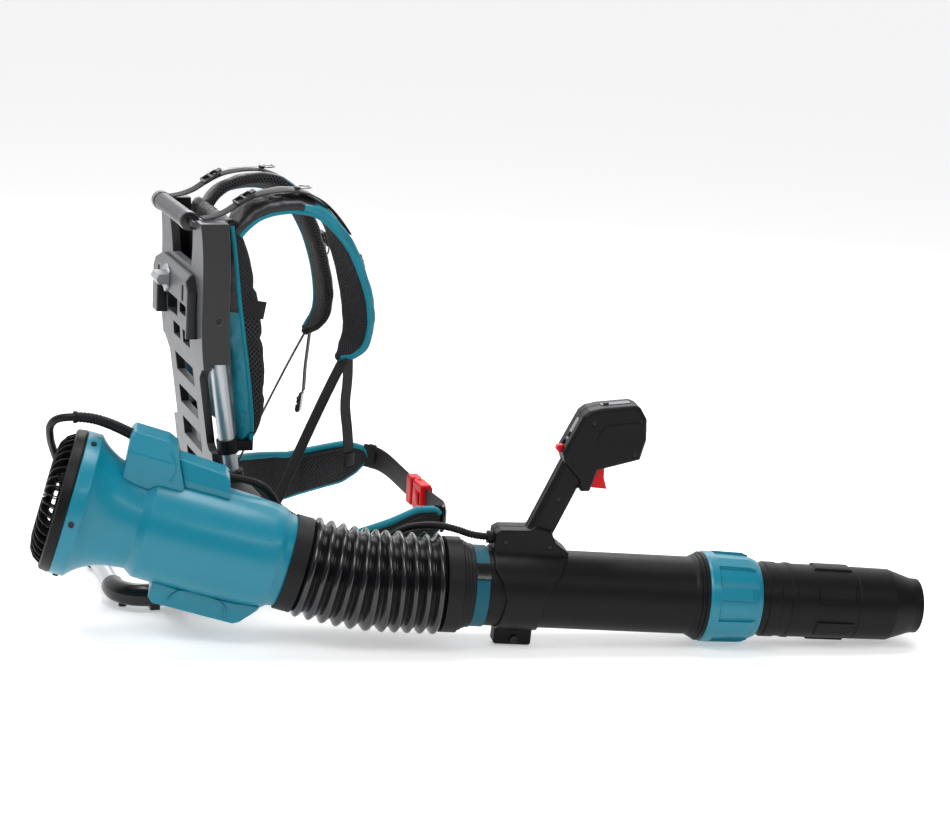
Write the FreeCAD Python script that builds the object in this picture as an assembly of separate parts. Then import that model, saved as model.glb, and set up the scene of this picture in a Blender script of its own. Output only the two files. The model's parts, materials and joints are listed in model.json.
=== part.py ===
import FreeCAD, Part
import math
import os
from FreeCAD import Vector, Rotation, Placement

# Backpack leaf blower, millimetres.
# X points the way the wearer faces, Y to the wearer's left and Z up.
# The carrying frame is drawn about its own middle plane, and everything is
# moved at the end so that the origin lies under the middle of the machine.

# ---- driving dimensions ----
FOOTPRINT_MIDDLE = Vector(435, -156.5, 0)

# carrying frame
PIPE_R = 12.5
PIPE_WALL = 1.5
PIPE_Y = 115.0
PIPE_Z = 21.0
PIPE_LEAN = 0.147
LOOP_REAR_X = -48.0
LOOP_CORNER_R = 45.0
FRONT_BEND_R = 60.0
PIPE_TOP_Z = 430.0
COVER_R = 16.5

# back plate
PLATE_HALF = 130.0
PLATE_NARROW_HALF = 95.0
PLATE_LOW_HALF = 120.0
PLATE_SKIN = 12.0
WALL_DEPTH = 40.0
WALL_IN = 100.0
WALL_LOW_Z = 365.0
PLATE_TOP_Z = 568.0
PLATE_LOW_Z = 150.0
RUNG_TOPS = (366.0, 316.0, 266.0)
RUNG_H = 22.0
WINDOW_HALF = 57.0

# duct
FAN_YAW = -14.0
FAN_PITCH = 14.7
TUBE_YAW = -10.0
TUBE_PITCH = 2.75
TUBE_ORIGIN = Vector(465.2, -350.2, 84)
KNEE_BACK = 227.6
KNEE_TO_OUTLET = 100.0
HOUSING_LENGTH = 309.5
TUBE_R = 56.0
TUBE_BORE_R = 53.2
WALL = 3.0
COVER_NOSE = 32.0
NOZZLE_R = 52.4
NOZZLE_MOUTH_R = 37.5
CUFF_L = 23.0
TUBE_BACK = -103.0
BELLOWS_OUT_R = 72.0
BELLOWS_IN_R = 60.0
MIDDLE_RING_HALF = 5.0
NUT_X0 = 277.0
NUT_X1 = 357.0
TUBE_END = 328.0

# fan
FAN_R = 61.0
HUB_R = 25.0
BLADES = 11
VANES = 7
FINS = 40
SHAFT_R = 5.0

# cables
CABLE_R = 5.5
SLEEVE_R = 7.4
CONDUIT_R = 5.5
COIL_R = 62.0
COIL_X = 112.0
COIL_TURNS = 2.25
COIL_PITCH = 11.2
COIL_LOW_Z = 5.7
PLUG_Y = 44.0

# carrying grip, battery lock, back pad, shoulder straps
GRIP_AT = Vector(44, 0, 566)
GRIP_R = 13.0
GRIP_PIN_R = 4.0
KNOB_Y = 26.0
KNOB_Z = 462.0
PAD_HALF = 110.0
STRAP_T = 20.0
STRAP_Y0 = -122.0
STRAP_Y1 = -56.0
BELT_T = 14.0

# handle
GRIP_LEAN = 21.5
TRIGGER_PIVOT = Vector(103, 0, 194)
LEVER_PIVOT = Vector(62, 0, 208)

# ---- outlines ----
REAR_LINE = [(90, 150), (79, 240), (66, 330), (60, 375), (57, 430), (56, 520), (51, 568)]
STRAP_LINE = [(99, 556), (114, 583), (146, 603), (200, 610), (240, 595), (268, 561), (289, 517), (306, 466),
              (314, 414), (306, 373), (282, 356)]
PAD_OUTLINE = [(118, 247), (110, 345), (101, 375), (95, 400), (88, 560), (98, 572), (112, 570), (132, 520),
               (147, 460), (158, 393), (163, 320), (161, 280), (152, 252), (138, 240)]
BELT_LINE = [(412, 170), (345, 170), (275, 160), (215, 142), (176, 112), (150, 70), (142, 0)]
LEFT_WING = [(100, 66), (200, 62), (267, 70), (371, 92), (416, 120), (424, 134), (416, 148),
             (372, 158), (279, 146), (178, 156), (100, 150)]
RIGHT_WING = [(100, 66), (200, 62), (290, 72), (380, 92), (424, 118), (435, 135), (415, 152),
              (380, 153), (340, 136), (290, 119), (240, 115), (176, 150), (100, 150)]
SHELL_OUT = [(0, 101), (19, 101), (22, 98), (30, 90.5), (36, 86), (42, 82), (50, 77.5), (60, 74), (68, 72),
             (80, 70), (97, 68.5), (109, 76.5), (190, 78), (250, 76.5), (292, 72.5), (299, 66.5),
             (HOUSING_LENGTH, 64.5)]
SHELL_IN_REAR = [(0, 96), (19, 92)]
SHELL_IN_FRONT = [(97, 65.5), (111, 73.5), (190, 75), (250, 73.5), (290, 69.5), (297, 62.5),
                  (HOUSING_LENGTH, 61.5)]
REAR_COVER = [(60, 55), (54, 120), (58, 128), (106, 127), (120, 120), (143, 74), (144, 55)]
FRONT_COVER = [(112, 55), (112, 108), (194, 103), (201, 97), (208, 76), (208, 55)]
BELLY_COVER = [(139, -55), (139, -91), (147, -99), (262, -98), (270, -93), (290, -66), (290, -55)]
HEAD_OUTLINE = [(46, 206), (70, 262), (78, 269), (94, 274), (141, 281), (150, 278), (161, 262), (164, 232),
                (158, 203), (108, 187), (99, 184), (91, 153), (78, 152), (74, 168), (52, 190)]
SADDLE_OUTLINE = [(-36, 40), (-24, 20), (-18, 0), (-24, -62), (37, -62), (34, -25), (36, 5), (60, 38),
                  (66, 50), (74, 60), (60, 66), (-36, 66)]
BLOCK_OUTLINE = [(-36, 50), (-36, 84), (-28, 89.5), (13, 91), (20, 96), (44, 90), (52, 74), (72, 60.5),
                 (72, 50)]

# ---- routes, in the housing's or the tube's own frame where the name says so ----
SLEEVE_LINE = [Vector(62, 0, 115), Vector(38, 0, 120), Vector(10, 0, 123), Vector(-12, 0, 121),
               Vector(-26, 1, 116.5)]
CABLE_FREE = [Vector(-45, 2.4, 110.4), Vector(-54, 19, 92.5), Vector(-49, 42, 70), Vector(-42, 70, 49),
              Vector(-26, 101, 18), Vector(-8, 119, -24)]
CABLE_BASE = [Vector(-112, -112, 128), Vector(-76, -103, 98), Vector(-36, -94, 76), Vector(4, -84, 60),
              Vector(42, -73, 47), Vector(78, -65, 36)]
CONDUIT_HOUSING = [Vector(196, 14, 91), Vector(226, 15, 94), Vector(252, 28, 88), Vector(270, 50, 73),
                   Vector(286, 70, 50)]
CONDUIT_MIDDLE = [Vector(246, -228, 122), Vector(285, -236, 108)]
CONDUIT_TUBE = [Vector(-160, 54, 60), Vector(-138, 34, 74), Vector(-112, 14, 82), Vector(-88, 2, 81),
                Vector(-62, 0, 73), Vector(-38, 0, 73)]

os.makedirs("parts", exist_ok=True)


# ---- small tools ----
def save(name, shape, place=None):
    """Place a solid in the machine, move it to the final origin and write it."""
    if place is not None:
        shape = shape.transformed(place.toMatrix())
    shape = shape.translated(Vector(0, 0, 0) - FOOTPRINT_MIDDLE)
    if shape.ShapeType == "Compound" and len(shape.Solids) == 1:
        shape = shape.Solids[0]
    shape.exportStep("parts/%s.step" % name)
    box = shape.BoundBox
    print("%-22s solids %2d  valid %s  volume %9.0f  x %6.0f %6.0f  y %6.0f %6.0f  z %5.0f %5.0f" % (
        name, len(shape.Solids), shape.isValid(), shape.Volume,
        box.XMin, box.XMax, box.YMin, box.YMax, box.ZMin, box.ZMax))


def block(x0, x1, y0, y1, z0, z1):
    return Part.makeBox(x1 - x0, y1 - y0, z1 - z0, Vector(x0, y0, z0))


def rounded_block(x0, x1, y0, y1, z0, z1, r):
    box = block(x0, x1, y0, y1, z0, z1)
    return box.makeFillet(r, box.Edges)


def rod(r, start, end):
    line = end - start
    return Part.makeCylinder(r, line.Length, start, line)


def polygon_face(points):
    return Part.Face(Part.makePolygon(points + [points[0]]))


def side_prism(outline, y0, y1):
    """A plate whose outline is given as (x, z) points, between y0 and y1."""
    face = polygon_face([Vector(x, y0, z) for x, z in outline])
    return face.extrude(Vector(0, y1 - y0, 0))


def turned(profile):
    """A ring or shell turned about X from a closed (x, radius) profile."""
    face = polygon_face([Vector(x, 0, r) for x, r in profile])
    return face.revolve(Vector(0, 0, 0), Vector(1, 0, 0), 360)


def ring(x0, x1, r_in, r_out):
    return turned([(x0, r_in), (x0, r_out), (x1, r_out), (x1, r_in)])


def curve(points):
    spline = Part.BSplineCurve()
    spline.interpolate(points)
    return spline


def band(points, thickness, y0, y1):
    """A curved slab: a smooth (x, z) line, thickened to its right, from y0 to y1."""
    line = curve([Vector(x, y0, z) for x, z in points])
    inner = []
    count = 3 * len(points)
    first, last = line.FirstParameter, line.LastParameter
    for step in range(count + 1):
        at = first + (last - first) * step / count
        along = line.tangent(at)[0]
        side = Vector(along.z, 0, -along.x)
        inner.append(line.value(at) + side * thickness)
    back = curve(inner)
    edges = [line.toShape(), Part.makeLine(line.EndPoint, back.EndPoint),
             back.toShape(), Part.makeLine(back.StartPoint, line.StartPoint)]
    face = Part.Face(Part.Wire(Part.__sortEdges__(edges)))
    return face.extrude(Vector(0, y1 - y0, 0))


def rounded_wire(points, radii):
    """Straight runs joined by tangent arcs of the given radii."""
    edges = []
    at = points[0]
    for before, corner, after, radius in zip(points, points[1:], points[2:], radii):
        to_back = (before - corner).normalize()
        to_front = (after - corner).normalize()
        half = to_back.getAngle(to_front) / 2
        cut = radius / math.tan(half)
        middle_way = (to_back + to_front).normalize()
        start = corner + to_back * cut
        end = corner + to_front * cut
        centre = corner + middle_way * (radius / math.sin(half))
        middle = centre - middle_way * radius
        if (start - at).Length > 0.01:
            edges.append(Part.LineSegment(at, start).toShape())
        edges.append(Part.Arc(start, middle, end).toShape())
        at = end
    if (points[-1] - at).Length > 0.01:
        edges.append(Part.LineSegment(at, points[-1]).toShape())
    return Part.Wire(edges)


def sweep(wire, radius):
    first = wire.Edges[0]
    start = first.valueAt(first.FirstParameter)
    along = first.tangentAt(first.FirstParameter)
    circle = Part.Wire([Part.makeCircle(radius, start, along)])
    return wire.makePipeShell([circle], True, True)


def tube(wire, outer, inner):
    return sweep(wire, outer).cut(sweep(wire, inner))


def easy_radii(points):
    """The largest arcs that the runs of a cord's route allow."""
    radii = []
    for before, corner, after in zip(points, points[1:], points[2:]):
        turn = (corner - before).getAngle(after - corner)
        shorter = min((corner - before).Length, (after - corner).Length)
        radii.append(0.45 * shorter / math.tan(turn / 2))
    return radii


def cord(name, points, radius):
    """A cord's tube along a route of straight runs and tangent arcs."""
    radii = easy_radii(points)
    wire = rounded_wire(points, radii)
    solid = sweep(wire, radius)
    print(name, "length %.0f" % wire.Length, "smallest radius %.0f" % min(radii),
          "volume ratio %.3f" % (solid.Volume / (wire.Length * math.pi * radius ** 2)))
    return solid


def largest(shape):
    return max(shape.Solids, key=lambda solid: solid.Volume)


def mirrored(shape):
    return shape.mirror(Vector(0, 0, 0), Vector(0, 1, 0))


def twins(name, shapes):
    """Save pieces drawn on the wearer's right with their twins, as one file."""
    save(name, Part.makeCompound(shapes + [mirrored(shape) for shape in shapes]))


# ---- placements of the fan housing and the blower tube ----
# Both have X along their own axis; the two axes meet at the knee of the bellows.
TUBE = Placement(TUBE_ORIGIN, Rotation(TUBE_YAW, TUBE_PITCH, 0))
KNEE = TUBE.multVec(Vector(-KNEE_BACK, 0, 0))
fan_turn = Rotation(FAN_YAW, FAN_PITCH, 0)
HOUSING = Placement(KNEE - fan_turn.multVec(Vector(HOUSING_LENGTH + KNEE_TO_OUTLET, 0, 0)), fan_turn)


def bellows_line():
    """The bellows' centre line: housing outlet cuff to tube cuff, one bend."""
    start = HOUSING.multVec(Vector(HOUSING_LENGTH + CUFF_L, 0, 0))
    end = TUBE.multVec(Vector(TUBE_BACK, 0, 0))
    reach = min((KNEE - start).Length, (end - KNEE).Length)
    half_turn = (KNEE - start).getAngle(end - KNEE) / 2
    return rounded_wire([start, KNEE, end], [0.999 * reach / math.tan(half_turn)])


def on_line(wire, distance):
    """Point and direction at a distance along a wire of lines and arcs."""
    left = distance
    for edge in wire.Edges:
        if left <= edge.Length:
            at = edge.getParameterByLength(left)
            return edge.valueAt(at), edge.tangentAt(at)
        left -= edge.Length
    last = wire.Edges[-1]
    return last.valueAt(last.LastParameter), last.tangentAt(last.LastParameter)


def part_of_line(wire, start, end):
    """The stretch of a wire between two distances along it."""
    edges = []
    passed = 0.0
    for edge in wire.Edges:
        low, high = max(start - passed, 0.0), min(end - passed, edge.Length)
        if high - low > 0.01:
            p0, p1 = edge.getParameterByLength(low), edge.getParameterByLength(high)
            edges.append(edge.Curve.toShape(p0, p1))
        passed += edge.Length
    return Part.Wire(edges)


# ---- carrying frame ----
def upright_x(z):
    return 107.0 + (223.0 - z) * PIPE_LEAN


def frame_points():
    right = [Vector(upright_x(PIPE_TOP_Z), -PIPE_Y, PIPE_TOP_Z),
             Vector(upright_x(PIPE_Z), -PIPE_Y, PIPE_Z),
             Vector(LOOP_REAR_X, -PIPE_Y, PIPE_Z)]
    left = [Vector(p.x, -p.y, p.z) for p in reversed(right)]
    return right + left


def frame_wire():
    return rounded_wire(frame_points(), [FRONT_BEND_R, LOOP_CORNER_R, LOOP_CORNER_R, FRONT_BEND_R])


def build_frame():
    save("frame_pipe", tube(frame_wire(), PIPE_R, PIPE_R - PIPE_WALL))

    # moulded cover round each rear corner, with its two feet
    corner = rounded_wire([Vector(10, -PIPE_Y, PIPE_Z), Vector(LOOP_REAR_X, -PIPE_Y, PIPE_Z),
                           Vector(LOOP_REAR_X, -64, PIPE_Z)], [LOOP_CORNER_R])
    cover = sweep(corner, COVER_R)
    cover = cover.fuse(block(-4, 10, -PIPE_Y - 8, -PIPE_Y + 8, 0, 8))
    cover = cover.fuse(Part.makeCylinder(6, 8, Vector(LOOP_REAR_X + 9, -94, 0)))
    cover = cover.cut(sweep(corner, PIPE_R))
    twins("corner_covers", [cover])

    # rubber foot clipped on each front bend
    run = rounded_wire([Vector(52, -PIPE_Y, PIPE_Z), Vector(78, -PIPE_Y, PIPE_Z)], [])
    foot = sweep(run, PIPE_R + 3.5)
    foot = foot.fuse(block(54, 76, -PIPE_Y - 9, -PIPE_Y + 9, 0, 8))
    twins("front_feet", [foot.cut([sweep(run, PIPE_R), sweep(frame_wire(), PIPE_R)])])

    twins("pipe_clips", [pipe_clip().cut(sweep(frame_wire(), PIPE_R))])


def pipe_clip():
    """Clamp round an upright, with the tab that holds the pad."""
    low = Vector(upright_x(232), -PIPE_Y, 232)
    high = Vector(upright_x(252), -PIPE_Y, 252)
    tab = block(low.x + 6, low.x + 34, -PIPE_Y - 10, -94, 236, 249)
    return rod(PIPE_R + 3, low, high).fuse(tab)


def plate_slab(depth, half):
    return band(REAR_LINE, depth, -half, half)


def z_slice(z0, z1, y0=-200, y1=200):
    return block(0, 200, y0, y1, z0, z1)


def build_plate():
    upper = plate_slab(PLATE_SKIN, PLATE_HALF).common(z_slice(WALL_LOW_Z - 8, PLATE_TOP_Z))
    middle = plate_slab(PLATE_SKIN, PLATE_NARROW_HALF).common(z_slice(220, WALL_LOW_Z))
    lower = plate_slab(PLATE_SKIN, PLATE_LOW_HALF).common(z_slice(PLATE_LOW_Z, 232))
    wall = band(REAR_LINE, WALL_DEPTH, -PLATE_HALF, -WALL_IN).common(z_slice(WALL_LOW_Z, PLATE_TOP_Z))
    plate = upper.fuse([middle, lower, wall, mirrored(wall)])

    # slanted shoulders where the plate narrows and widens
    for z_low, z_high, half in ((WALL_LOW_Z - 30, WALL_LOW_Z, PLATE_HALF), (220, 244, PLATE_LOW_HALF)):
        down = half == PLATE_HALF
        near = z_high if down else z_low
        far = z_low if down else z_high
        wedge = polygon_face([Vector(0, PLATE_NARROW_HALF - 5, near), Vector(0, half, near),
                              Vector(0, PLATE_NARROW_HALF - 5, far)]).extrude(Vector(200, 0, 0))
        shoulder = plate_slab(PLATE_SKIN, PLATE_HALF).common(wedge.fuse(mirrored(wedge)))
        plate = plate.fuse(shoulder)

    # lugs that hold the waist belt
    lug = block(92, 127.8, -52, -20, 128, 158)
    plate = plate.fuse([lug, mirrored(lug)])

    # hand gap under the carrying grip
    gap = polygon_face([Vector(0, -58, 494), Vector(0, 58, 494), Vector(0, 88, 600), Vector(0, -88, 600)])
    plate = plate.cut(gap.extrude(Vector(200, 0, 0)))
    # ladder windows between the rungs
    for top in RUNG_TOPS:
        z_top = top - RUNG_H
        plate = plate.cut(block(0, 200, -WINDOW_HALF, WINDOW_HALF, z_top - (50 - RUNG_H), z_top))
    plate = plate.cut(block(0, 200, -WINDOW_HALF + 8, WINDOW_HALF - 8, 172, 200))
    # two bolt windows, and the slots round the battery mount
    for y in (-30, 30):
        plate = plate.cut(block(0, 200, y - 22, y + 22, 372, 392))
    for y0, y1, z0, z1 in ((22, 88, 404, 438), (-52, 8, 414, 434), (-90, -64, 404, 438)):
        plate = plate.cut(block(0, 200, y0, y1, z0, z1))
    # screw pocket in each side wall
    for side in (-1, 1):
        plate = plate.cut(rod(5, Vector(82, side * 140, 428), Vector(82, side * 128, 428)))
    plate = plate.cut([sweep(frame_wire(), PIPE_R), pipe_clip(), mirrored(pipe_clip())])
    # seats for the carrying grip
    plate = plate.cut(rod(GRIP_R + 3, GRIP_AT + Vector(0, -96, 0), GRIP_AT + Vector(0, 96, 0)))
    plate = plate.cut(rod(GRIP_PIN_R, GRIP_AT + Vector(0, -122, 0), GRIP_AT + Vector(0, 122, 0)))
    plate = plate.cut(rod(4.0, Vector(30, KNOB_Y, KNOB_Z), Vector(120, KNOB_Y, KNOB_Z)))
    save("back_plate", plate)

    build_battery_mount()
    build_lock_knob()
    # carrying grip with a stub at each end
    stubs = rod(GRIP_PIN_R, GRIP_AT + Vector(0, -122, 0), GRIP_AT + Vector(0, 122, 0))
    grip = rod(GRIP_R, GRIP_AT + Vector(0, -95, 0), GRIP_AT + Vector(0, 95, 0))
    save("carry_grip", grip.fuse(stubs))

    # screws in the side walls
    screws = [screw(Vector(82, side * 128.0, 428), Vector(0, side, 0), 4.0) for side in (-1, 1)]
    save("plate_screws", Part.makeCompound(screws))
    return plate


def build_battery_mount():
    """Raised battery mount on the plate's rear, with its hook slots."""
    mount = block(42, 75, -100, 122, 442, 486)
    mount = mount.fuse(block(42, 75, -100, -92, 396, 442)).fuse(block(42, 75, 92, 122, 396, 442))
    slope = polygon_face([Vector(38, -140, 474), Vector(62, -140, 496), Vector(38, -140, 496)])
    mount = mount.cut(slope.extrude(Vector(0, 300, 0)))
    for y, turn in ((-100, 1), (122, -1)):
        corner = polygon_face([Vector(30, y - 2 * turn, 500), Vector(30, y + 34 * turn, 500),
                               Vector(30, y - 2 * turn, 462)])
        mount = mount.cut(corner.extrude(Vector(60, 0, 0)))
    mount = mount.cut(plate_slab(PLATE_SKIN + 30, PLATE_HALF))
    for y in (-70, 84):
        mount = mount.cut(block(30, 50, y - 5, y + 5, 446, 470))
    mount = mount.cut(rod(15.3, Vector(30, KNOB_Y, KNOB_Z), Vector(49, KNOB_Y, KNOB_Z)))
    mount = mount.cut(rod(4.0, Vector(30, KNOB_Y, KNOB_Z), Vector(80, KNOB_Y, KNOB_Z)))
    save("battery_mount", mount)


def build_lock_knob():
    """Battery lock: wing knob, shaft and latch."""
    knob = rod(15, Vector(44, KNOB_Y, KNOB_Z), Vector(49, KNOB_Y, KNOB_Z))
    hexagon = [Vector(38, KNOB_Y + 21 * math.cos(math.radians(60 * i + 30)),
                      KNOB_Z + 21 * math.sin(math.radians(60 * i + 30))) for i in range(6)]
    knob = knob.fuse(polygon_face(hexagon).extrude(Vector(3.7, 0, 0)))
    knob = knob.fuse(rod(15, Vector(41, KNOB_Y, KNOB_Z), Vector(45, KNOB_Y, KNOB_Z)))
    wing = side_prism([(40, KNOB_Z - 7), (25, KNOB_Z - 7), (21, KNOB_Z), (25, KNOB_Z + 8), (40, KNOB_Z + 8)],
                      KNOB_Y - 20, KNOB_Y + 20)
    knob = knob.fuse(wing).fuse(rod(3.95, Vector(45, KNOB_Y, KNOB_Z), Vector(80, KNOB_Y, KNOB_Z)))
    knob = knob.fuse(block(74, 79, KNOB_Y - 8, KNOB_Y + 8, KNOB_Z - 22, KNOB_Z + 6))
    save("lock_knob", knob)


def screw(head_at, outward, head_r, head_h=2.0):
    """A pan-head screw; head_at is the seat, outward the way its head faces."""
    body = rod(head_r, head_at, head_at + outward * head_h)
    recess = rod(head_r * 0.4, head_at + outward * (head_h * 0.4), head_at + outward * (head_h + 1))
    return body.cut(recess)


# ---- harness ----
def build_harness(plate):
    pad = side_prism(PAD_OUTLINE, -PAD_HALF, PAD_HALF)
    strap = band(STRAP_LINE, STRAP_T, STRAP_Y0, STRAP_Y1)
    pad = pad.cut([strap, mirrored(strap)])
    for y in (-PAD_HALF - 1, 94):
        pad = pad.cut(block(100, 175, y, y + PAD_HALF - 93, 225, 256))
    save("back_pad", largest(pad.cut(plate).cut(sweep(frame_wire(), PIPE_R + 1))))
    save("shoulder_strap_right", strap)
    save("shoulder_strap_left", mirrored(strap))

    # load-lifter webbing from the plate's top corners over the strap crest
    lifter_line = [(60, 570.5), (86, 574), (118, 598), (150, 610), (205, 614), (250, 591), (278, 549)]
    lifter = band(lifter_line, 2.5, -112, -84).cut(strap).cut(plate)
    buckle = block(104, 134, -116, -80, 585, 608).cut(strap).cut(band(lifter_line, 2.5, -113, -83))
    buckle = largest(buckle.cut(block(108, 130, -111, -85, 602, 612)))

    # a steel ring on the front of each strap in its keeper, and one on its crest
    link = Part.makeTorus(10.5, 1.6, Vector(303.7, -89, 494), Vector(1, 0, 0))
    seat = Part.makeTorus(10.5, 1.7, Vector(303.7, -89, 494), Vector(1, 0, 0))
    keeper = block(297.5, 301, -101, -77, 496, 516).fuse(block(300.9, 306.5, -97, -81, 501, 508))
    keeper = keeper.cut(seat).cut(strap)
    crest_link = Part.makeTorus(10.5, 1.6, Vector(208, -98, 616.4), Vector(0, 0, 1))
    crest_seat = Part.makeTorus(10.5, 1.7, Vector(208, -98, 616.4), Vector(0, 0, 1))
    crest_keeper = block(194, 201, -104, -92, 612, 619.5).cut(crest_seat).cut(strap)
    lifter = lifter.cut([crest_keeper, crest_seat])
    keepers = [keeper, largest(crest_keeper)]
    twins("steel_rings", [link, crest_link])

    # lower adjusting webbing, and its loose tail with an end clip
    lower = Part.makeLoft([webbing_section(Vector(272, -100, 355), 12, 1.2),
                           webbing_section(Vector(176, -112, 139), 12, 1.2)], True)
    near_tail = band([(292, 350), (286, 320), (284, 290), (291, 255), (293, 222)], 2.0, -124, -100)
    far_tail = band([(289, 352), (287, 330), (284, 300), (284, 280), (283, 262)], 2.0, 100, 124)
    belt = waist_belt()
    lower = lower.cut(strap)
    webbing = [lifter, mirrored(lifter), largest(lower.cut(belt)), largest(mirrored(lower).cut(belt)),
               near_tail.cut(strap), far_tail.cut(mirrored(strap))]
    save("strap_webbing", Part.makeCompound(webbing))
    clips = [block(284, 301, -126, -98, 200, 221.5), block(268, 286, 98, 126, 228, 261.5)]
    hardware = [buckle, mirrored(buckle)] + keepers + [mirrored(keeper) for keeper in keepers] + clips
    save("strap_hardware", Part.makeCompound(hardware))

    # waist belt, its webbing and the release buckle
    save("waist_belt", belt)
    twins("belt_webbing", [belt_webbing()])
    build_buckle()


def webbing_section(centre, half_width, half_thick):
    corners = [Vector(-half_thick, -half_width, 0), Vector(half_thick, -half_width, 0),
               Vector(half_thick, half_width, 0), Vector(-half_thick, half_width, 0)]
    return Part.makePolygon([centre + corner for corner in corners + corners[:1]])


def waist_belt():
    """One padded belt: a U in plan, with its wing tips cut to shape."""
    plan = BELT_LINE + [(x, -y) for x, y in reversed(BELT_LINE[:-1])]
    belt = band(plan, BELT_T, 0, 98).rotated(Vector(0, 0, 0), Vector(1, 0, 0), -90)
    belt = belt.translated(Vector(0, 0, 158))
    left = side_prism(LEFT_WING, 0, 260)
    right = side_prism(RIGHT_WING, -260, 0)
    return belt.common(left.fuse(right).removeSplitter())


def belt_webbing():
    sections = []
    for x, y, z, half in ((424, -176, 133, 22), (434, -140, 131, 19), (440, -90, 124, 19),
                          (442, -36, 121, 19)):
        sections.append(Part.makePolygon([Vector(x - 1.2, y, z - half), Vector(x + 1.2, y, z - half),
                                          Vector(x + 1.2, y, z + half), Vector(x - 1.2, y, z + half),
                                          Vector(x - 1.2, y, z - half)]))
    return Part.makeLoft(sections, True)


def build_buckle():
    socket = rounded_block(433, 451, -35.5, 4, 98, 144, 3)
    socket = socket.cut(block(437, 447, -20, 5, 104, 138))
    save("buckle_socket", socket)
    latch = rounded_block(433, 451, 12, 35.5, 98, 144, 3)
    stem = rounded_block(437.6, 446.4, 4.5, 12.5, 106, 136, 1.5)
    prongs = [block(438, 446, -18, 6, z0, z1) for z0, z1 in ((105, 110), (118.5, 123.5), (132, 137))]
    save("buckle_latch", latch.fuse([stem] + prongs))


# ---- fan housing ----
def shell_in():
    flare = [(t, r - WALL) for t, r in SHELL_OUT if 30 <= t <= 80]
    return SHELL_IN_REAR + flare + SHELL_IN_FRONT


def housing_envelope():
    return turned(SHELL_OUT + [(HOUSING_LENGTH, 0), (0, 0)])


def hollow_cover(outline, half, top_half, wall=WALL):
    """A box cover on the housing: side outline (x, z), tapered towards its top."""
    z_top = max(abs(z) for x, z in outline)
    outer = side_prism(outline, -half, half)
    sign = 1 if outline[0][1] > 0 else -1
    for side in (-1, 1):
        wedge = polygon_face([Vector(-100, side * half, sign * (z_top - 26)),
                              Vector(-100, side * half, sign * (z_top + 1)),
                              Vector(-100, side * top_half, sign * (z_top + 1))])
        outer = outer.cut(wedge.extrude(Vector(500, 0, 0)))
    x_min, x_max = min(x for x, z in outline), max(x for x, z in outline)
    inner = block(x_min + 8, x_max - COVER_NOSE, -top_half + wall, top_half - wall, 0, z_top - 2 * wall)
    if sign < 0:
        inner = inner.mirror(Vector(0, 0, 0), Vector(0, 0, 1))
    return outer.cut(inner).cut(housing_envelope())


def build_housing():
    shell = turned(SHELL_OUT + list(reversed(shell_in())))
    save("fan_housing", shell, HOUSING)

    rear = hollow_cover(REAR_COVER, 39, 25)
    front = hollow_cover(FRONT_COVER, 31, 22).cut(side_prism(REAR_COVER, -46, 46))
    belly = hollow_cover(BELLY_COVER, 40, 33)
    rear = rear.cut(cable_sleeve())
    front = front.cut(rod(8.4, Vector(192, 14, 91), Vector(212, 14, 91)))
    save("controller_cover", largest(rear), HOUSING)
    save("cable_cover", largest(front), HOUSING)
    save("belly_cover", largest(belly), HOUSING)

    save("controller_board", block(70, 104, -20, 20, 84, 110).cut(housing_envelope()), HOUSING)

    # intake ring and domed guard
    save("intake_ring", turned([(-16, 92), (-16, 96), (-14, 99), (-3, 101), (0, 100), (0, 92)]), HOUSING)
    save("intake_guard", intake_guard(), HOUSING)

    # sleeve that carries the fan, its guide vanes and the motor can
    sleeve = ring(126.5, 288, 62.5, 65.5)
    seat_front = ring(126.5, 132, 65.4, 73.4)
    cone = turned([(235.9, 0), (235.9, HUB_R), (262, 18), (284, 8), (288, 0)])
    can = ring(165, 236, HUB_R - 3, HUB_R)
    wall_front = ring(165, 170, 11, HUB_R - 2.9)
    wall_rear = ring(230, 235, 11, HUB_R - 2.9)
    vanes = []
    for i in range(VANES):
        vane = block(172, 228, -1.5, 1.5, HUB_R - 1, 63.5)
        vanes.append(vane.rotated(Vector(0, 0, 0), Vector(1, 0, 0), 360.0 * i / VANES))
    sleeve = sleeve.fuse([seat_front, can, wall_front, wall_rear, cone] + vanes)
    save("fan_sleeve", sleeve, HOUSING)
    save("motor_stator", ring(174, 228, 14.5, HUB_R - 3), HOUSING)
    bearings = [ring(t, t + 5, SHAFT_R + 0.03, 11) for t in (165.0, 230.0)]
    save("bearings", Part.makeCompound(bearings), HOUSING)

    # rotating group: bladed hub with its nose, and the shaft with its magnets
    hub = turned([(100, 0), (103, 8), (112, 16.5), (122, 22.5), (130, HUB_R), (162, HUB_R), (162, SHAFT_R),
                  (136, SHAFT_R), (136, 0)])
    blades = [fan_blade(360.0 * i / BLADES) for i in range(BLADES)]
    save("fan_rotor", hub.fuse(blades), HOUSING)
    shaft = turned([(136, 0), (136, SHAFT_R), (176, SHAFT_R), (176, 14), (226, 14), (226, SHAFT_R),
                    (235.4, SHAFT_R), (235.4, 0)])
    save("motor_shaft", shaft, HOUSING)

    # cuff that holds the bellows on the outlet
    cuff = ring(HOUSING_LENGTH, HOUSING_LENGTH + CUFF_L, 58, 68)
    spigot = ring(HOUSING_LENGTH - 9, HOUSING_LENGTH + 1, 58, 61.2)
    save("bellows_cuff_rear", cuff.fuse(spigot), HOUSING)
    screws = []
    for angle in range(36, 396, 72):
        a = math.radians(angle)
        out = Vector(0, math.cos(a), math.sin(a))
        screws.append(screw(Vector(10, 0, 0) + out * 101.0, out, 4.0))
    save("housing_screws", Part.makeCompound(screws), HOUSING)


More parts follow.
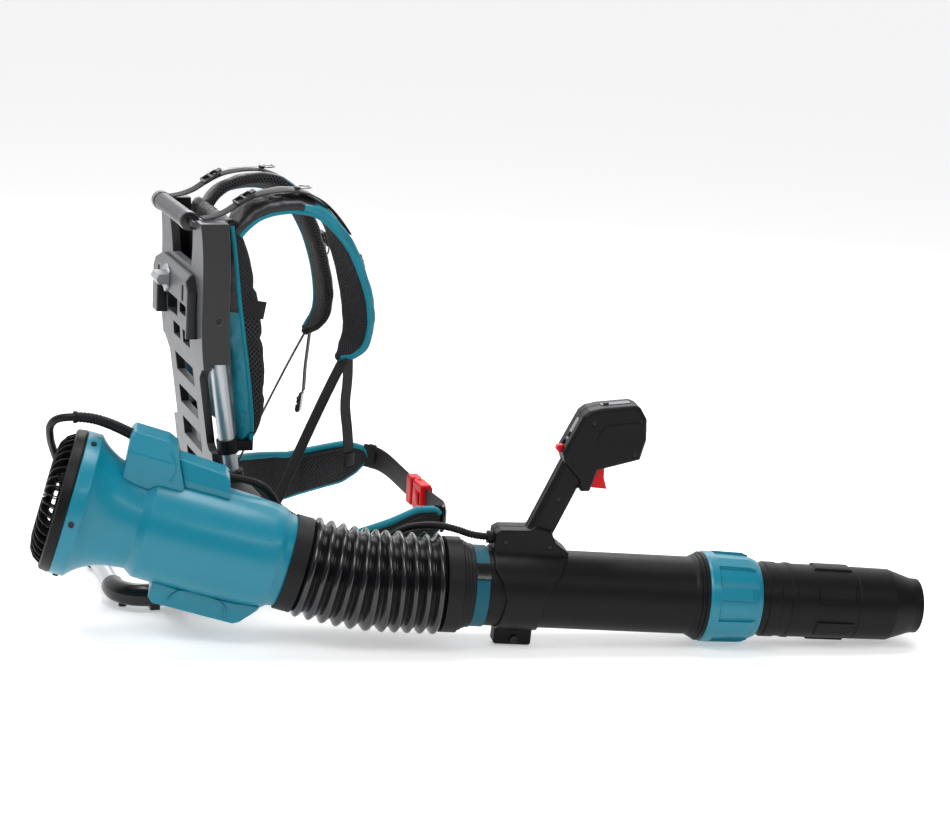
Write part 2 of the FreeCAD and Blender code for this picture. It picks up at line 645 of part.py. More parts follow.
def fan_blade(angle):
    """One twisted blade, from the hub to the tip."""
    sections = []
    for radius, pitch in ((HUB_R - 2.0, 42), (42.0, 55), (FAN_R, 64)):
        half = 13.0
        c, s = math.cos(math.radians(pitch)), math.sin(math.radians(pitch))
        corners = []
        for along, across in ((-half, -1.1), (half, -1.1), (half, 1.1), (-half, 1.1)):
            corners.append(Vector(146 + along * c - across * s, along * s + across * c, radius))
        sections.append(Part.makePolygon(corners + [corners[0]]))
    blade = Part.makeLoft(sections, True, True)
    return blade.rotated(Vector(0, 0, 0), Vector(1, 0, 0), angle)


def intake_guard():
    """Domed grille: radial fins on a hub, tied by thin rings."""
    outline = [Vector(-23, 0, 16), Vector(-31, 0, 16), Vector(-36, 0, 30), Vector(-36, 0, 58),
               Vector(-33, 0, 75), Vector(-26, 0, 86), Vector(-17, 0, 91.8), Vector(-8, 0, 91.8),
               Vector(-8, 0, 84), Vector(-20, 0, 73), Vector(-26, 0, 58), Vector(-27, 0, 34)]
    fin = polygon_face(outline).extrude(Vector(0, 1.8, 0)).translated(Vector(0, -0.9, 0))
    fins = [fin.rotated(Vector(0, 0, 0), Vector(1, 0, 0), 360.0 * i / FINS) for i in range(FINS)]
    ties = [ring(-30, -27, 44, 47), ring(-26, -23, 70, 73.5), ring(-13, -4, 86, 92),
            turned([(-23, 0), (-31, 0), (-31, 19), (-23, 19)])]
    return ties[0].multiFuse(fins + ties[1:])


# ---- bellows ----
def conduit_line():
    """Control conduit: from the cable cover, round the bellows, to the handle."""
    points = [HOUSING.multVec(p) for p in CONDUIT_HOUSING] + CONDUIT_MIDDLE
    points += [TUBE.multVec(p) for p in CONDUIT_TUBE]
    return rounded_wire(points, easy_radii(points))


def crossing(wire, centre, normal):
    """Distance along a wire at which it crosses a plane."""
    steps = [wire.Length * i / 800.0 for i in range(801)]
    return min(steps, key=lambda d: abs((on_line(wire, d)[0] - centre).dot(normal)))


def build_bellows():
    line = bellows_line()
    length = line.Length
    half = length / 2
    rear = part_of_line(line, 0, half - MIDDLE_RING_HALF)
    front = part_of_line(line, half + MIDDLE_RING_HALF, length)
    middle = part_of_line(line, half - MIDDLE_RING_HALF, half + MIDDLE_RING_HALF)
    save("bellows_rear", tube(rear, BELLOWS_OUT_R, BELLOWS_IN_R))
    save("bellows_front", tube(front, BELLOWS_OUT_R, BELLOWS_IN_R))

    # the middle ring carries the conduit in a small eye
    conduit = conduit_line()
    centre, along = on_line(line, half)
    split = crossing(conduit, centre, along)
    at, way = on_line(conduit, split)
    eye = rod(CONDUIT_R + 2.5, at - way * 5, at + way * 5)
    link = rod(3.5, centre + (at - centre).normalize() * (BELLOWS_IN_R + 4), at)
    hoop = tube(middle, BELLOWS_OUT_R + 0.5, BELLOWS_IN_R - 1)
    save("bellows_ring", hoop.fuse([eye, link]).cut(sweep(conduit, CONDUIT_R + 0.3)))
    save("conduit_rear", sweep(part_of_line(conduit, 0, split), CONDUIT_R))
    save("conduit_front", sweep(part_of_line(conduit, split, conduit.Length), CONDUIT_R))
    print("conduit length %.0f, split at %.0f, eye %.1f from the axis" % (
        conduit.Length, split, (at - centre).Length))
    for name, at in (("bellows start", 0), ("pitch hinge", length * 0.25), ("middle", half),
                     ("yaw hinge", length * 0.75), ("bellows end", length)):
        point, along = on_line(line, at)
        print(name, [round(c, 2) for c in point - FOOTPRINT_MIDDLE], [round(c, 4) for c in along])
    print("bellows length", length)


# ---- blower tube and its handle ----
def build_tube():
    body = ring(TUBE_BACK, TUBE_END, TUBE_BORE_R, TUBE_R)
    collar = turned([(258, TUBE_R - 1), (258, TUBE_R), (262, 58.5), (266, 58.5), (267, 61), (271, 61),
                     (272, 64), (276.4, 64), (276.4, TUBE_R - 1)])
    save("blower_tube", body.fuse(collar), TUBE)
    cuff = turned([(TUBE_BACK, TUBE_R), (TUBE_BACK, 68), (-81, 68), (-79, 64), (-75, 64), (-74, 61.5),
                   (-70, 61.5), (-69, 59.5), (-63, 59.5), (-63, TUBE_R)])
    save("bellows_cuff_front", cuff, TUBE)
    strap = ring(-62, -43, TUBE_R, TUBE_R + 2)
    save("cable_strap", strap, TUBE)
    slide = ring(-62.8, -42.2, TUBE_R + 2, TUBE_R + 5)
    keep = block(-70, 0, -80, 0, -12, 12).rotated(Vector(0, 0, 0), Vector(1, 0, 0), -38)
    save("strap_slide", largest(slide.common(keep)), TUBE)


def handle_solid():
    saddle = ring(-36, 74, TUBE_R, TUBE_R + 4).common(side_prism(SADDLE_OUTLINE, -70, 70))
    boss = rounded_block(-21, 34, -14, 14, -82.3, -50, 4)
    top = side_prism(BLOCK_OUTLINE, -21, 21)
    grip = rounded_block(-19, 19, -15.5, 15.5, -20, 128, 9)
    grip = grip.rotated(Vector(0, 0, 0), Vector(0, 1, 0), GRIP_LEAN).translated(Vector(28, 0, 84))
    head = side_prism(HEAD_OUTLINE, -24, 24)
    head = head.makeChamfer(3.5, [e for e in head.Edges if abs(abs(e.CenterOfMass.y) - 24) < 0.01])
    whole = saddle.fuse([boss, top, grip, head])
    whole = whole.cut(Part.makeCylinder(TUBE_R, 200, Vector(-100, 0, 0), Vector(1, 0, 0)))
    return whole


def trigger_solid(grow=0.0):
    outline = [(92 - grow, 198 + grow), (112 + grow, 198 + grow), (112 + grow, 184), (113 + grow, 170),
               (119 + grow, 154 - grow), (97, 155 - grow), (92 - grow, 160), (90 - grow, 176)]
    half = 7.0 + grow
    return side_prism(outline, -half, half)


def swept_space(solid, pivot, angles):
    turns = [solid.rotated(pivot, Vector(0, 1, 0), a) for a in angles]
    return turns[0].multiFuse(turns[1:])


def lever_solid(grow=0.0):
    hub = rod(6 + grow, LEVER_PIVOT + Vector(0, -6 - grow, 0), LEVER_PIVOT + Vector(0, 6 + grow, 0))
    arm = side_prism([(62, 203 - grow), (44 - grow, 203 - grow), (40 - grow, 207), (41 - grow, 213 + grow),
                      (48, 214 + grow), (62, 212 + grow)], -5 - grow, 5 + grow)
    return hub.fuse(arm)


def face_frame(points):
    """Placement on a sloping face of the head, x up the slope and z outward."""
    (x0, z0), (x1, z1) = points
    slope = math.degrees(math.atan2(z1 - z0, x1 - x0))
    return Placement(Vector((x0 + x1) / 2, 0, (z0 + z1) / 2), Rotation(0, -slope, 0))


def build_handle():
    whole = handle_solid()
    cavity = side_prism([(60, 202), (80, 256), (140, 268), (152, 256), (156, 210), (110, 197)], -19, 19)
    whole = whole.cut(cavity)
    whole = whole.cut(swept_space(trigger_solid(1.1), TRIGGER_PIVOT, (0, 4, 8, 12)))
    whole = whole.cut(swept_space(lever_solid(0.5), LEVER_PIVOT, (0, 7, 14, 21, 26)))

    # seats for the display windows and their buttons
    rear_face = face_frame(((52, 220), (68, 257.5)))
    top_face = face_frame(((96, 274.3), (139, 280.7)))
    rear_lens = rounded_pad(34, 13, -0.5, 2.0)
    top_lens = rounded_pad(42, 13, -2.0, 0.6)
    seats = [rounded_pad(34.2, 13.2, -6, 2.2).transformed(rear_face.toMatrix()),
             rounded_pad(42.2, 13.2, -3.5, 2).transformed(top_face.toMatrix())]
    whole = whole.cut(seats)
    rear_button_hole = rod(4.4, Vector(-10, 0, -10), Vector(-10, 0, 5))
    top_button_hole = rod(4.4, Vector(-13, 0, -8), Vector(-13, 0, 5))
    rear_hole = rear_button_hole.transformed(rear_face.toMatrix())
    top_hole = top_button_hole.transformed(top_face.toMatrix())
    whole = whole.cut([rear_hole, top_hole])
    rear_seat = rounded_pad(34.2, 13.2, -6, -3.0).cut(rear_button_hole)
    rear_window = rear_lens.translated(Vector(0, 0, -2.5)).cut(rear_button_hole).fuse(rear_seat)
    windows = [largest(rear_window).transformed(rear_face.toMatrix()),
               largest(top_lens.cut(top_button_hole)).transformed(top_face.toMatrix())]
    save("display_windows", Part.makeCompound(windows), TUBE)
    button = rod(4.0, Vector(-10, 0, -4.0), Vector(-10, 0, 1.2))
    save("boost_button", button, TUBE.multiply(rear_face))
    button = rod(4.0, Vector(-13, 0, -3.0), Vector(-13, 0, 2.2))
    save("power_button", button, TUBE.multiply(top_face))
    for name, place in (("boost_button", rear_face), ("power_button", top_face)):
        push = TUBE.multiply(place).Rotation.multVec(Vector(0, 0, -1))
        print(name, "push axis", [round(c, 4) for c in push])

    # conduit gland in the block's rear face
    gland = rod(9, Vector(-44, 0, 73), Vector(-36, 0, 73))
    gland = gland.fuse(rod(7.5, Vector(-37, 0, 73), Vector(-28, 0, 73)))
    whole = whole.cut(rod(7.5, Vector(-40, 0, 73), Vector(-28, 0, 73)))
    gland = gland.cut(rod(CONDUIT_R, Vector(-50, 0, 73), Vector(-36, 0, 73)))
    save("handle_gland", gland, TUBE)

    # pivot pins
    pins = [rod(1.96, at - Vector(0, 14, 0), at + Vector(0, 14, 0)) for at in (TRIGGER_PIVOT, LEVER_PIVOT)]
    whole = whole.cut(pins)
    save("pivot_pins", Part.makeCompound(pins), TUBE)
    for name, solid, at in (("trigger", trigger_solid(), TRIGGER_PIVOT),
                            ("cruise_lever", lever_solid(), LEVER_PIVOT)):
        save(name, solid.cut(rod(2.0, at - Vector(0, 20, 0), at + Vector(0, 20, 0))), TUBE)

    # clamp screw through the boss, and the shell screws
    whole = whole.cut(rod(3.0, Vector(8, -16, -73), Vector(8, 16, -73)))
    seats = [(-20, 72, 21), (44, 68, 21), (49.7, 137, 15.5), (86, 252, 24), (152, 256, 24), (150, 210, 24)]
    screws = [clamp_screw()]
    for x, z, half in seats:
        whole = whole.cut(rod(3.2, Vector(x, -half - 2, z), Vector(x, -half + 3, z)))
        screws.append(screw(Vector(x, -half + 3, z), Vector(0, -1, 0), 3.0))
    save("handle_screws", Part.makeCompound(screws), TUBE)

    right = whole.common(block(-200, 300, -100, 0, -100, 400))
    left = whole.common(block(-200, 300, 0, 100, -100, 400))
    save("handle_shell_right", largest(right), TUBE)
    save("handle_shell_left", largest(left), TUBE)


def rounded_pad(length, width, z0, z1):
    pad = block(-length / 2, length / 2, -width / 2, width / 2, z0, z1)
    return pad.makeFillet(3.0, [e for e in pad.Edges if abs(e.tangentAt(0).z) > 0.9])


def clamp_screw():
    shank = rod(2.95, Vector(8, -14, -73), Vector(8, 14, -73))
    head = rod(5.5, Vector(8, -18, -73), Vector(8, -14, -73))
    nut = rod(5.5, Vector(8, 14, -73), Vector(8, 18, -73))
    slot = block(2, 14, -19, -17, -73.8, -72.2)
    return head.fuse([shank, nut]).cut(slot)


# ---- lock nut and sliding nozzle ----
def build_nozzle():
    profile = [(NUT_X0, 56.35), (NUT_X0, 64), (NUT_X0 + 3, 65.5), (NUT_X0 + 14, 65.5), (NUT_X0 + 16, 62.5),
               (338, 60.5), (350, 59), (NUT_X1, 56), (NUT_X1, 52.8), (330, 52.8), (329, 56.35)]
    nut = turned(profile)
    ribs = []
    for i in range(8):
        rib = side_prism([(NUT_X0 + 14, 58), (NUT_X0 + 14, 65.5), (338, 64.5), (347, 61), (347, 57)], -9, 9)
        ribs.append(rib.rotated(Vector(0, 0, 0), Vector(1, 0, 0), 45.0 * i + 22.5))
    save("lock_nut", nut.fuse(ribs), TUBE)

    outer = [(200, NOZZLE_R), (368, NOZZLE_R), (370, 54.5), (387, 54.5), (388, 53.2), (402, 53.2),
             (403, 54.5), (410, 54.5), (411, 53.2), (503, 52.8), (504, 51.8), (506, 51.8), (507, 52.8),
             (562, 52), (596, 41), (603, 40), (608, 40)]
    inner = [(608, NOZZLE_MOUTH_R), (580, NOZZLE_MOUTH_R), (552, 48.8), (200, 49.6)]
    nozzle = turned(outer + inner)
    panels = []
    for i in range(6):
        panel = side_prism([(441, 50), (444, 55.5), (497, 55), (501, 50)], -13, 13)
        panels.append(panel.rotated(Vector(0, 0, 0), Vector(1, 0, 0), 60.0 * i))
    keep = turned([(438, 50.5), (438, 55.8), (502, 55.4), (502, 50.5)])
    nozzle = nozzle.fuse([p.common(keep) for p in panels])
    save("nozzle", nozzle, TUBE)


# ---- bracket between frame and housing ----
def build_bracket():
    upper = Vector(upright_x(205), -PIPE_Y, 205)
    lower = Vector(upright_x(160), -PIPE_Y, 160)
    clamp = rod(PIPE_R + 6, lower, upper)
    arm = block(70, 128, -224, -PIPE_Y, 160, 196)
    bracket = clamp.fuse(arm)
    bracket = bracket.cut(sweep(frame_wire(), PIPE_R))
    bracket = bracket.cut(plate_slab(PLATE_SKIN, PLATE_LOW_HALF))
    bracket = bracket.cut(housing_envelope().transformed(HOUSING.toMatrix()))
    save("blower_bracket", largest(bracket))

    # bracket under the housing, from a clamp on the side run up to the belly cover
    side = [Vector(0, -108, 12), Vector(0, -126, 10), Vector(0, -196, 50), Vector(0, -262, 56),
            Vector(0, -262, 112), Vector(0, -206, 112), Vector(0, -186, 74), Vector(0, -108, 36)]
    base = polygon_face(side).extrude(Vector(28, 0, 0)).translated(Vector(12, 0, 0))
    base = base.fuse(rod(COVER_R, Vector(12, -PIPE_Y, PIPE_Z), Vector(40, -PIPE_Y, PIPE_Z)))
    base = base.cut(sweep(frame_wire(), PIPE_R))
    base = base.cut(housing_envelope().transformed(HOUSING.toMatrix()))
    belly = side_prism(BELLY_COVER, -41, 41).transformed(HOUSING.toMatrix())
    save("base_bracket", largest(base.cut(belly)))


# ---- cables ----
def cable_sleeve():
    """Bend relief sleeve on the controller cover, with a lip at its end."""
    sleeve = sweep(rounded_wire(SLEEVE_LINE, easy_radii(SLEEVE_LINE)), SLEEVE_R)
    lip_way = (SLEEVE_LINE[-1] - SLEEVE_LINE[-2]).normalize()
    return sleeve.fuse(rod(SLEEVE_R + 1.2, SLEEVE_LINE[-1] - lip_way * 5, SLEEVE_LINE[-1]))


def build_cables():
    # the power cable from the sleeve's lip down to the coil on the base
    save("cable_sleeve", cable_sleeve(), HOUSING)
    lip_end = HOUSING.multVec(SLEEVE_LINE[-1])
    free = [HOUSING.multVec(p) for p in CABLE_FREE]
    coil_high = COIL_LOW_Z + COIL_TURNS * COIL_PITCH
    route = [lip_end] + free + CABLE_BASE + [Vector(COIL_X, -COIL_R, coil_high)]
    for p in route:
        print("cable point", [round(c, 1) for c in p])
    lead = cord("power_cable", route, CABLE_R)
    save("power_cable", lead)
    coil = Part.makeCylinder(COIL_R + CABLE_R + 0.5, coil_high + CABLE_R + 0.3, Vector(COIL_X, 0, 0.2))
    coil = coil.cut(Part.makeCylinder(COIL_R - CABLE_R - 0.5, 80, Vector(COIL_X, 0, -1)))
    tail_x = COIL_X + COIL_R
    coil = coil.fuse(rod(CABLE_R, Vector(tail_x, 10, COIL_LOW_Z), Vector(tail_x, PLUG_Y, COIL_LOW_Z)))
    save("power_cable_coil", coil.cut(lead))

    plug = rounded_block(tail_x - 13, tail_x + 13, PLUG_Y + 16, PLUG_Y + 58, 0.2, 20, 3)
    sleeve = Part.makeCone(6.5, 8.5, 20, Vector(tail_x, PLUG_Y, 8.9), Vector(0, 1, 0))
    mouth = block(tail_x - 9, tail_x + 9, PLUG_Y + 46, PLUG_Y + 60, 5, 15)
    save("power_plug", plug.fuse(sleeve).cut(mouth))


if __name__ == "__main__":
    build_frame()
    plate_solid = build_plate()
    build_harness(plate_solid)
    build_housing()
    build_bellows()
    build_tube()
    build_handle()
    build_nozzle()
    build_bracket()
    build_cables()
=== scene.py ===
"""Looks of the backpack leaf blower: materials, soft goods, bellows, cords, camera and light.

Lengths are in millimetres in the carrier's own frame, as in the part's source, and
become metres in the row frame when a mesh or curve is made.
"""
import json
import math

import bmesh
import bpy
from mathutils import Matrix, Vector, noise


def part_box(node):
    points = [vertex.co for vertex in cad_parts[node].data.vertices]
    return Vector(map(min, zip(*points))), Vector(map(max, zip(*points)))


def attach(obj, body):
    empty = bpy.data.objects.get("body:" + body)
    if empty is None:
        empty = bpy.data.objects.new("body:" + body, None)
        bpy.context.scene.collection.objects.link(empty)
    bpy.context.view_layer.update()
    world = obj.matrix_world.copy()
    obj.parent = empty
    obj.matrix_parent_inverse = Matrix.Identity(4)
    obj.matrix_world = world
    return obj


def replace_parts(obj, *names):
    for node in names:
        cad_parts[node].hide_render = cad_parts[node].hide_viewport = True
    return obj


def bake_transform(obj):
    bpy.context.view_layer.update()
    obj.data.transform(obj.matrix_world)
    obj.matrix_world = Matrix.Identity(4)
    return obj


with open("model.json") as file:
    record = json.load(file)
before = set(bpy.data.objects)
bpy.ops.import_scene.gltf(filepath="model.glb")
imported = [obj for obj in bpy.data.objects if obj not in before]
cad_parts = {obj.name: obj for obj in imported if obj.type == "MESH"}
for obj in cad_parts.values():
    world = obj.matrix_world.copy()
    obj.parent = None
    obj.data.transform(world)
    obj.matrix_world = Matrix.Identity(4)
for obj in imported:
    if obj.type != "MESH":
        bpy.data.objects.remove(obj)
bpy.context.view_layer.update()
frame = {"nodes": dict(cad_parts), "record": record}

# ---- sizes shared with the CAD ----
MM = 0.001
ORIGIN = Vector((435, -156.5, 0))
TUBE_ORIGIN = Vector((465.2, -350.2, 84))
TUBE_YAW, TUBE_PITCH = -10.0, 2.75
FAN_YAW, FAN_PITCH = -14.0, 14.7
KNEE_BACK = 227.6
HOUSING_LENGTH = 309.5
KNEE_TO_OUTLET = 100.0
CUFF_L = 23.0
TUBE_BACK = -103.0
RING_HALF = 9.2
SIDE_FOLDS = 5
CABLE_R = 5.5
CONDUIT_R = 5.5
COIL_R, COIL_X, COIL_TURNS, COIL_PITCH, COIL_LOW_Z = 62.0, 112.0, 2.25, 11.2, 5.7
PLUG_Y = 44.0

SLEEVE_LINE = [(62, 0, 115), (38, 0, 120), (10, 0, 123), (-12, 0, 121), (-26, 1, 116.5)]
CABLE_FREE = [(-45, 2.4, 110.4), (-54, 19, 92.5), (-49, 42, 70), (-42, 70, 49), (-26, 101, 18),
              (-8, 119, -24)]
CABLE_BASE = [(-112, -112, 128), (-76, -103, 98), (-36, -94, 76), (4, -84, 60), (42, -73, 47),
              (78, -65, 36)]
CONDUIT_HOUSING = [(196, 14, 91), (226, 15, 94), (252, 28, 88), (270, 50, 73), (286, 70, 50)]
CONDUIT_MIDDLE = [(246, -228, 122), (285, -236, 108)]
CONDUIT_TUBE = [(-160, 54, 60), (-138, 34, 74), (-112, 14, 82), (-88, 2, 81), (-62, 0, 73), (-38, 0, 73)]

STRAP_LINE = [(99, 556), (114, 583), (146, 603), (200, 610), (240, 595), (268, 561), (289, 517), (306, 466),
              (314, 414), (306, 373), (282, 356)]
STRAP_Y, STRAP_T = 89.0, 20.0
STRAP_TILT = {-1: [(0, 4), (0.12, 14), (0.3, 17), (0.42, 6), (0.56, -14), (0.75, -25), (1, -22)],
              1: [(0, 4), (0.12, 14), (0.3, 16), (0.45, 8), (0.6, 0), (1, 0)]}
PAD_OUTLINE = [(118, 247), (110, 345), (101, 375), (95, 400), (90, 480), (88, 560), (98, 572), (112, 570),
               (132, 520), (147, 460), (158, 393), (163, 320), (161, 280), (152, 252), (138, 240)]
PAD_HALF = 110.0
PAD_SEAM = [(246, 140), (262, 141), (300, 138), (345, 132), (400, 124), (450, 116), (500, 110), (545, 104),
            (562, 101)]
BELT_LINE = [(412, 170), (345, 170), (275, 160), (215, 142), (176, 112), (150, 70), (142, 0)]
BELT_T = 14.0
BELT_LOW = {1: [(100, 66), (200, 62), (267, 70), (371, 92), (416, 120), (424, 132)],
            -1: [(100, 66), (200, 62), (290, 72), (380, 92), (424, 118), (435, 133)]}
BELT_HIGH = {1: [(100, 150), (178, 156), (279, 146), (372, 158), (416, 148), (424, 136)],
             -1: [(100, 150), (176, 150), (240, 115), (290, 119), (340, 136), (380, 153), (415, 152),
                  (435, 137)]}

# ---- sizes of the details ----
FOLD_ROOT, FOLD_HEIGHT, FOLD_BORE = 62.6, 9.3, 60.5
RIB_PITCH, RIB_DEPTH = 4.2, 0.9
SLEEVE_LIP_R, SLEEVE_R, SLEEVE_RIB_PITCH = 8.4, 6.9, 5.0
EYE_R, STALK_R = 7.4, 3.4
PIPING_R = 3.4
STRAP_STEPS = 90
POCKET_SWELL = 5.5
GLOSS_BLACK = (0.006, 0.006, 0.007)

# ---- camera fitted to the photograph ----
CAMERA_PLACE = (-714.09, -3233.51, 1119.87)
CAMERA_RIGHT = (0.93713, -0.34391, 0.05924)
CAMERA_UP = (0.02954, 0.24731, 0.96849)
SENSOR, FOCAL, IMAGE_WIDTH = 36.0, 2300, 950


def carrier(x, y, z):
    """A point of the carrier's own frame, in the row frame, in millimetres."""
    return Vector((x, y, z)) - ORIGIN


def axis_frame(origin, yaw, pitch):
    turn = Matrix.Rotation(math.radians(yaw), 4, "Z") @ Matrix.Rotation(math.radians(pitch), 4, "Y")
    return Matrix.Translation(origin) @ turn


TUBE = axis_frame(TUBE_ORIGIN - ORIGIN, TUBE_YAW, TUBE_PITCH)
KNEE = TUBE @ Vector((-KNEE_BACK, 0, 0))
FAN_WAY = axis_frame(Vector(), FAN_YAW, FAN_PITCH) @ Vector((1, 0, 0))
HOUSING = axis_frame(KNEE - FAN_WAY * (HOUSING_LENGTH + KNEE_TO_OUTLET), FAN_YAW, FAN_PITCH)


# ---- materials ----
SOCKETS = {"metal": "Metallic", "rough": "Roughness", "gloss": "Specular IOR Level", "coat": "Coat Weight",
           "coat_rough": "Coat Roughness", "sheen": "Sheen Weight"}


class Tree:
    """A material's node tree, built a node at a time."""

    def __init__(self, name):
        self.material = bpy.data.materials.new(name)
        self.material.use_nodes = True
        self.tree = self.material.node_tree
        self.shader = self.tree.nodes["Principled BSDF"]

    def add(self, kind, inputs=None, **settings):
        node = self.tree.nodes.new("ShaderNode" + kind)
        for key, value in settings.items():
            setattr(node, key, value)
        for key, value in (inputs or {}).items():
            self.feed(node.inputs[key], value)
        return node

    def feed(self, socket, value):
        if isinstance(value, bpy.types.NodeSocket):
            self.tree.links.new(value, socket)
        else:
            socket.default_value = value

    def math(self, operation, a, b=0.0):
        return self.add("Math", {0: a, 1: b}, operation=operation).outputs[0]

    def noise(self, coordinates, scale, detail=3.0):
        return self.add("TexNoise", {"Vector": coordinates, "Scale": scale, "Detail": detail}).outputs["Fac"]

    def ranged(self, value, low, high):
        return self.add("MapRange", {"Value": value, "To Min": low, "To Max": high}).outputs[0]

    def mask(self, value, low, high):
        return self.add("MapRange", {"Value": value, "From Min": low, "From Max": high}).outputs[0]

    def bump(self, height, distance, strength, normal=None, invert=False):
        inputs = {"Height": height, "Distance": distance, "Strength": strength}
        if normal:
            inputs["Normal"] = normal
        return self.add("Bump", inputs, invert=invert).outputs["Normal"]

    def finish(self, **settings):
        """Plain numbers on the shader's own sockets."""
        for key, value in settings.items():
            self.shader.inputs[SOCKETS[key]].default_value = value
        return self.material

    def blend(self, factor, a, b):
        node = self.add("Mix", data_type="RGBA")
        self.feed(node.inputs["Factor"], factor)
        self.feed(node.inputs["A"], a)
        self.feed(node.inputs["B"], b)
        return node.outputs["Result"]

    def place(self):
        return self.add("TexCoord").outputs["Object"]


def shade(colour, factor):
    return tuple(min(1.0, c * factor) for c in colour[:3]) + (1.0,)


def moulded(name, colour, rough, metal=0.0, grain=1400.0, depth=0.00006, vary=0.1, edge=0.0009,
            edge_light=1.5, coat=0.0, speckle=0.0, gloss=0.15, side=None):
    """Moulded plastic, rubber or metal: grain, tone variation, rounded edges, and edges painted lighter,
    partly as wear and partly as a painted highlight.
    """
    t = Tree(name)
    place = t.place()
    cloud = t.noise(place, 14.0)
    base = t.blend(cloud, shade(colour, 1 - vary), shade(colour, 1 + vary))
    if speckle:
        dots = t.noise(place, 700.0, 1.0)
        mask = t.mask(dots, 0.56, 0.68)
        base = t.blend(mask, base, shade(colour, 1 + speckle))
    if side:
        across = t.add("SeparateXYZ", {0: t.add("NewGeometry").outputs["Normal"]}).outputs["Y"]
        mask = t.mask(t.math("ABSOLUTE", across), 0.5, 0.7)
        base = t.blend(mask, base, (*side, 1.0))
    rounded = t.add("Bevel", {"Radius": edge}, samples=4).outputs["Normal"]
    flat = t.add("NewGeometry").outputs["Normal"]
    facing = t.add("VectorMath", {0: rounded, 1: flat}, operation="DOT_PRODUCT").outputs["Value"]
    # Painted highlight mixed with wear: every rounded edge is painted lighter, broken up by noise.
    rim = t.mask(facing, 0.995, 0.8)
    edge_highlight_and_wear = t.math("MULTIPLY", rim, t.ranged(t.noise(place, 90.0), 0.4, 1.0))
    t.feed(t.shader.inputs["Base Color"], t.blend(edge_highlight_and_wear, base, shade(colour, edge_light)))
    t.feed(t.shader.inputs["Roughness"], t.ranged(t.noise(place, 60.0), rough - 0.06, rough + 0.06))
    t.feed(t.shader.inputs["Normal"], t.bump(t.noise(place, grain, 2.0), depth, 0.6, normal=rounded))
    return t.finish(metal=metal, gloss=gloss, coat=coat, coat_rough=0.15)


def brushed(name, colour, rough, stretch=(30.0, 30.0, 900.0)):
    """Bare metal with fine streaks across the given axis."""
    t = Tree(name)
    place = t.place()
    mapping = t.add("Mapping", {"Vector": place, "Scale": stretch}).outputs["Vector"]
    streak = t.noise(mapping, 3.0, 4.0)
    t.feed(t.shader.inputs["Base Color"], t.blend(streak, shade(colour, 0.85), shade(colour, 1.12)))
    t.feed(t.shader.inputs["Roughness"], t.ranged(streak, rough - 0.07, rough + 0.1))
    t.feed(t.shader.inputs["Normal"], t.bump(streak, 0.00004, 0.5))
    return t.finish(metal=1.0)


def crossing_waves(t, pitch_u, pitch_v, diagonal):
    """Two crossing wave trains over the surface's own coordinates, from 0 to 1."""
    uv = t.add("SeparateXYZ", {0: t.add("TexCoord").outputs["UV"]})
    u = t.math("MULTIPLY", uv.outputs["X"], math.pi / pitch_u)
    v = t.math("MULTIPLY", uv.outputs["Y"], math.pi / pitch_v)
    a, b = (t.math("ADD", u, v), t.math("SUBTRACT", u, v)) if diagonal else (u, v)
    return [t.math("ABSOLUTE", t.math("SINE", wave)) for wave in (a, b)]


def spacer_mesh(name, thread, hole, pitch):
    """Air mesh fabric: a net of diamond cells with dark openings."""
    t = Tree(name)
    a, b = crossing_waves(t, pitch, pitch * 1.6, True)
    cell = t.math("MULTIPLY", a, b)
    opening = t.mask(cell, 0.25, 0.75)
    fluff = t.noise(t.place(), 260.0)
    net = t.blend(fluff, shade(thread, 0.75), shade(thread, 1.3))
    t.feed(t.shader.inputs["Base Color"], t.blend(opening, net, (*hole, 1.0)))
    t.feed(t.shader.inputs["Normal"], t.bump(opening, 0.0014, 0.9, invert=True))
    return t.finish(rough=0.85, gloss=0.15, sheen=0.05)


def woven(name, colour, pitch_u, pitch_v, rough=0.6, sheen=0.05, diagonal=False, depth=0.0004):
    """Woven webbing, binding or braid."""
    t = Tree(name)
    a, b = crossing_waves(t, pitch_u, pitch_v, diagonal)
    thread = t.math("MAXIMUM", a, b) if diagonal else t.math("MULTIPLY", a, b)
    fibre = t.noise(t.place(), 420.0)
    tone = t.math("MULTIPLY", thread, t.ranged(fibre, 0.7, 1.0))
    t.feed(t.shader.inputs["Base Color"], t.blend(tone, shade(colour, 0.45), shade(colour, 1.25)))
    t.feed(t.shader.inputs["Normal"], t.bump(thread, depth, 0.8))
    return t.finish(rough=rough, gloss=0.25, sheen=sheen)


def satin(name, colour, rough=0.42, crease=36.0, depth=0.007):
    """Coated nylon: fine weave, soft creases with painted shade in their hollows and painted light on their
    crests, and a satin sheen.
    """
    t = Tree(name)
    place = t.place()
    a, b = crossing_waves(t, 0.0006, 0.0006, False)
    weave = t.math("MULTIPLY", a, b)
    creases_and_painted_shade = t.noise(place, crease, 2.0)
    # Painted shade and light: the colour is darker in the crease hollows and lighter on the crests,
    # following the bump's noise.
    t.feed(t.shader.inputs["Base Color"], t.blend(creases_and_painted_shade, shade(colour, 0.55), shade(colour, 1.4)))
    fold = t.bump(creases_and_painted_shade, depth, 0.9)
    t.feed(t.shader.inputs["Normal"], t.bump(weave, 0.00008, 0.5, normal=fold))
    t.feed(t.shader.inputs["Roughness"], t.ranged(t.noise(place, 80.0), rough - 0.06, rough + 0.08))
    return t.finish(gloss=0.4, sheen=0.05)


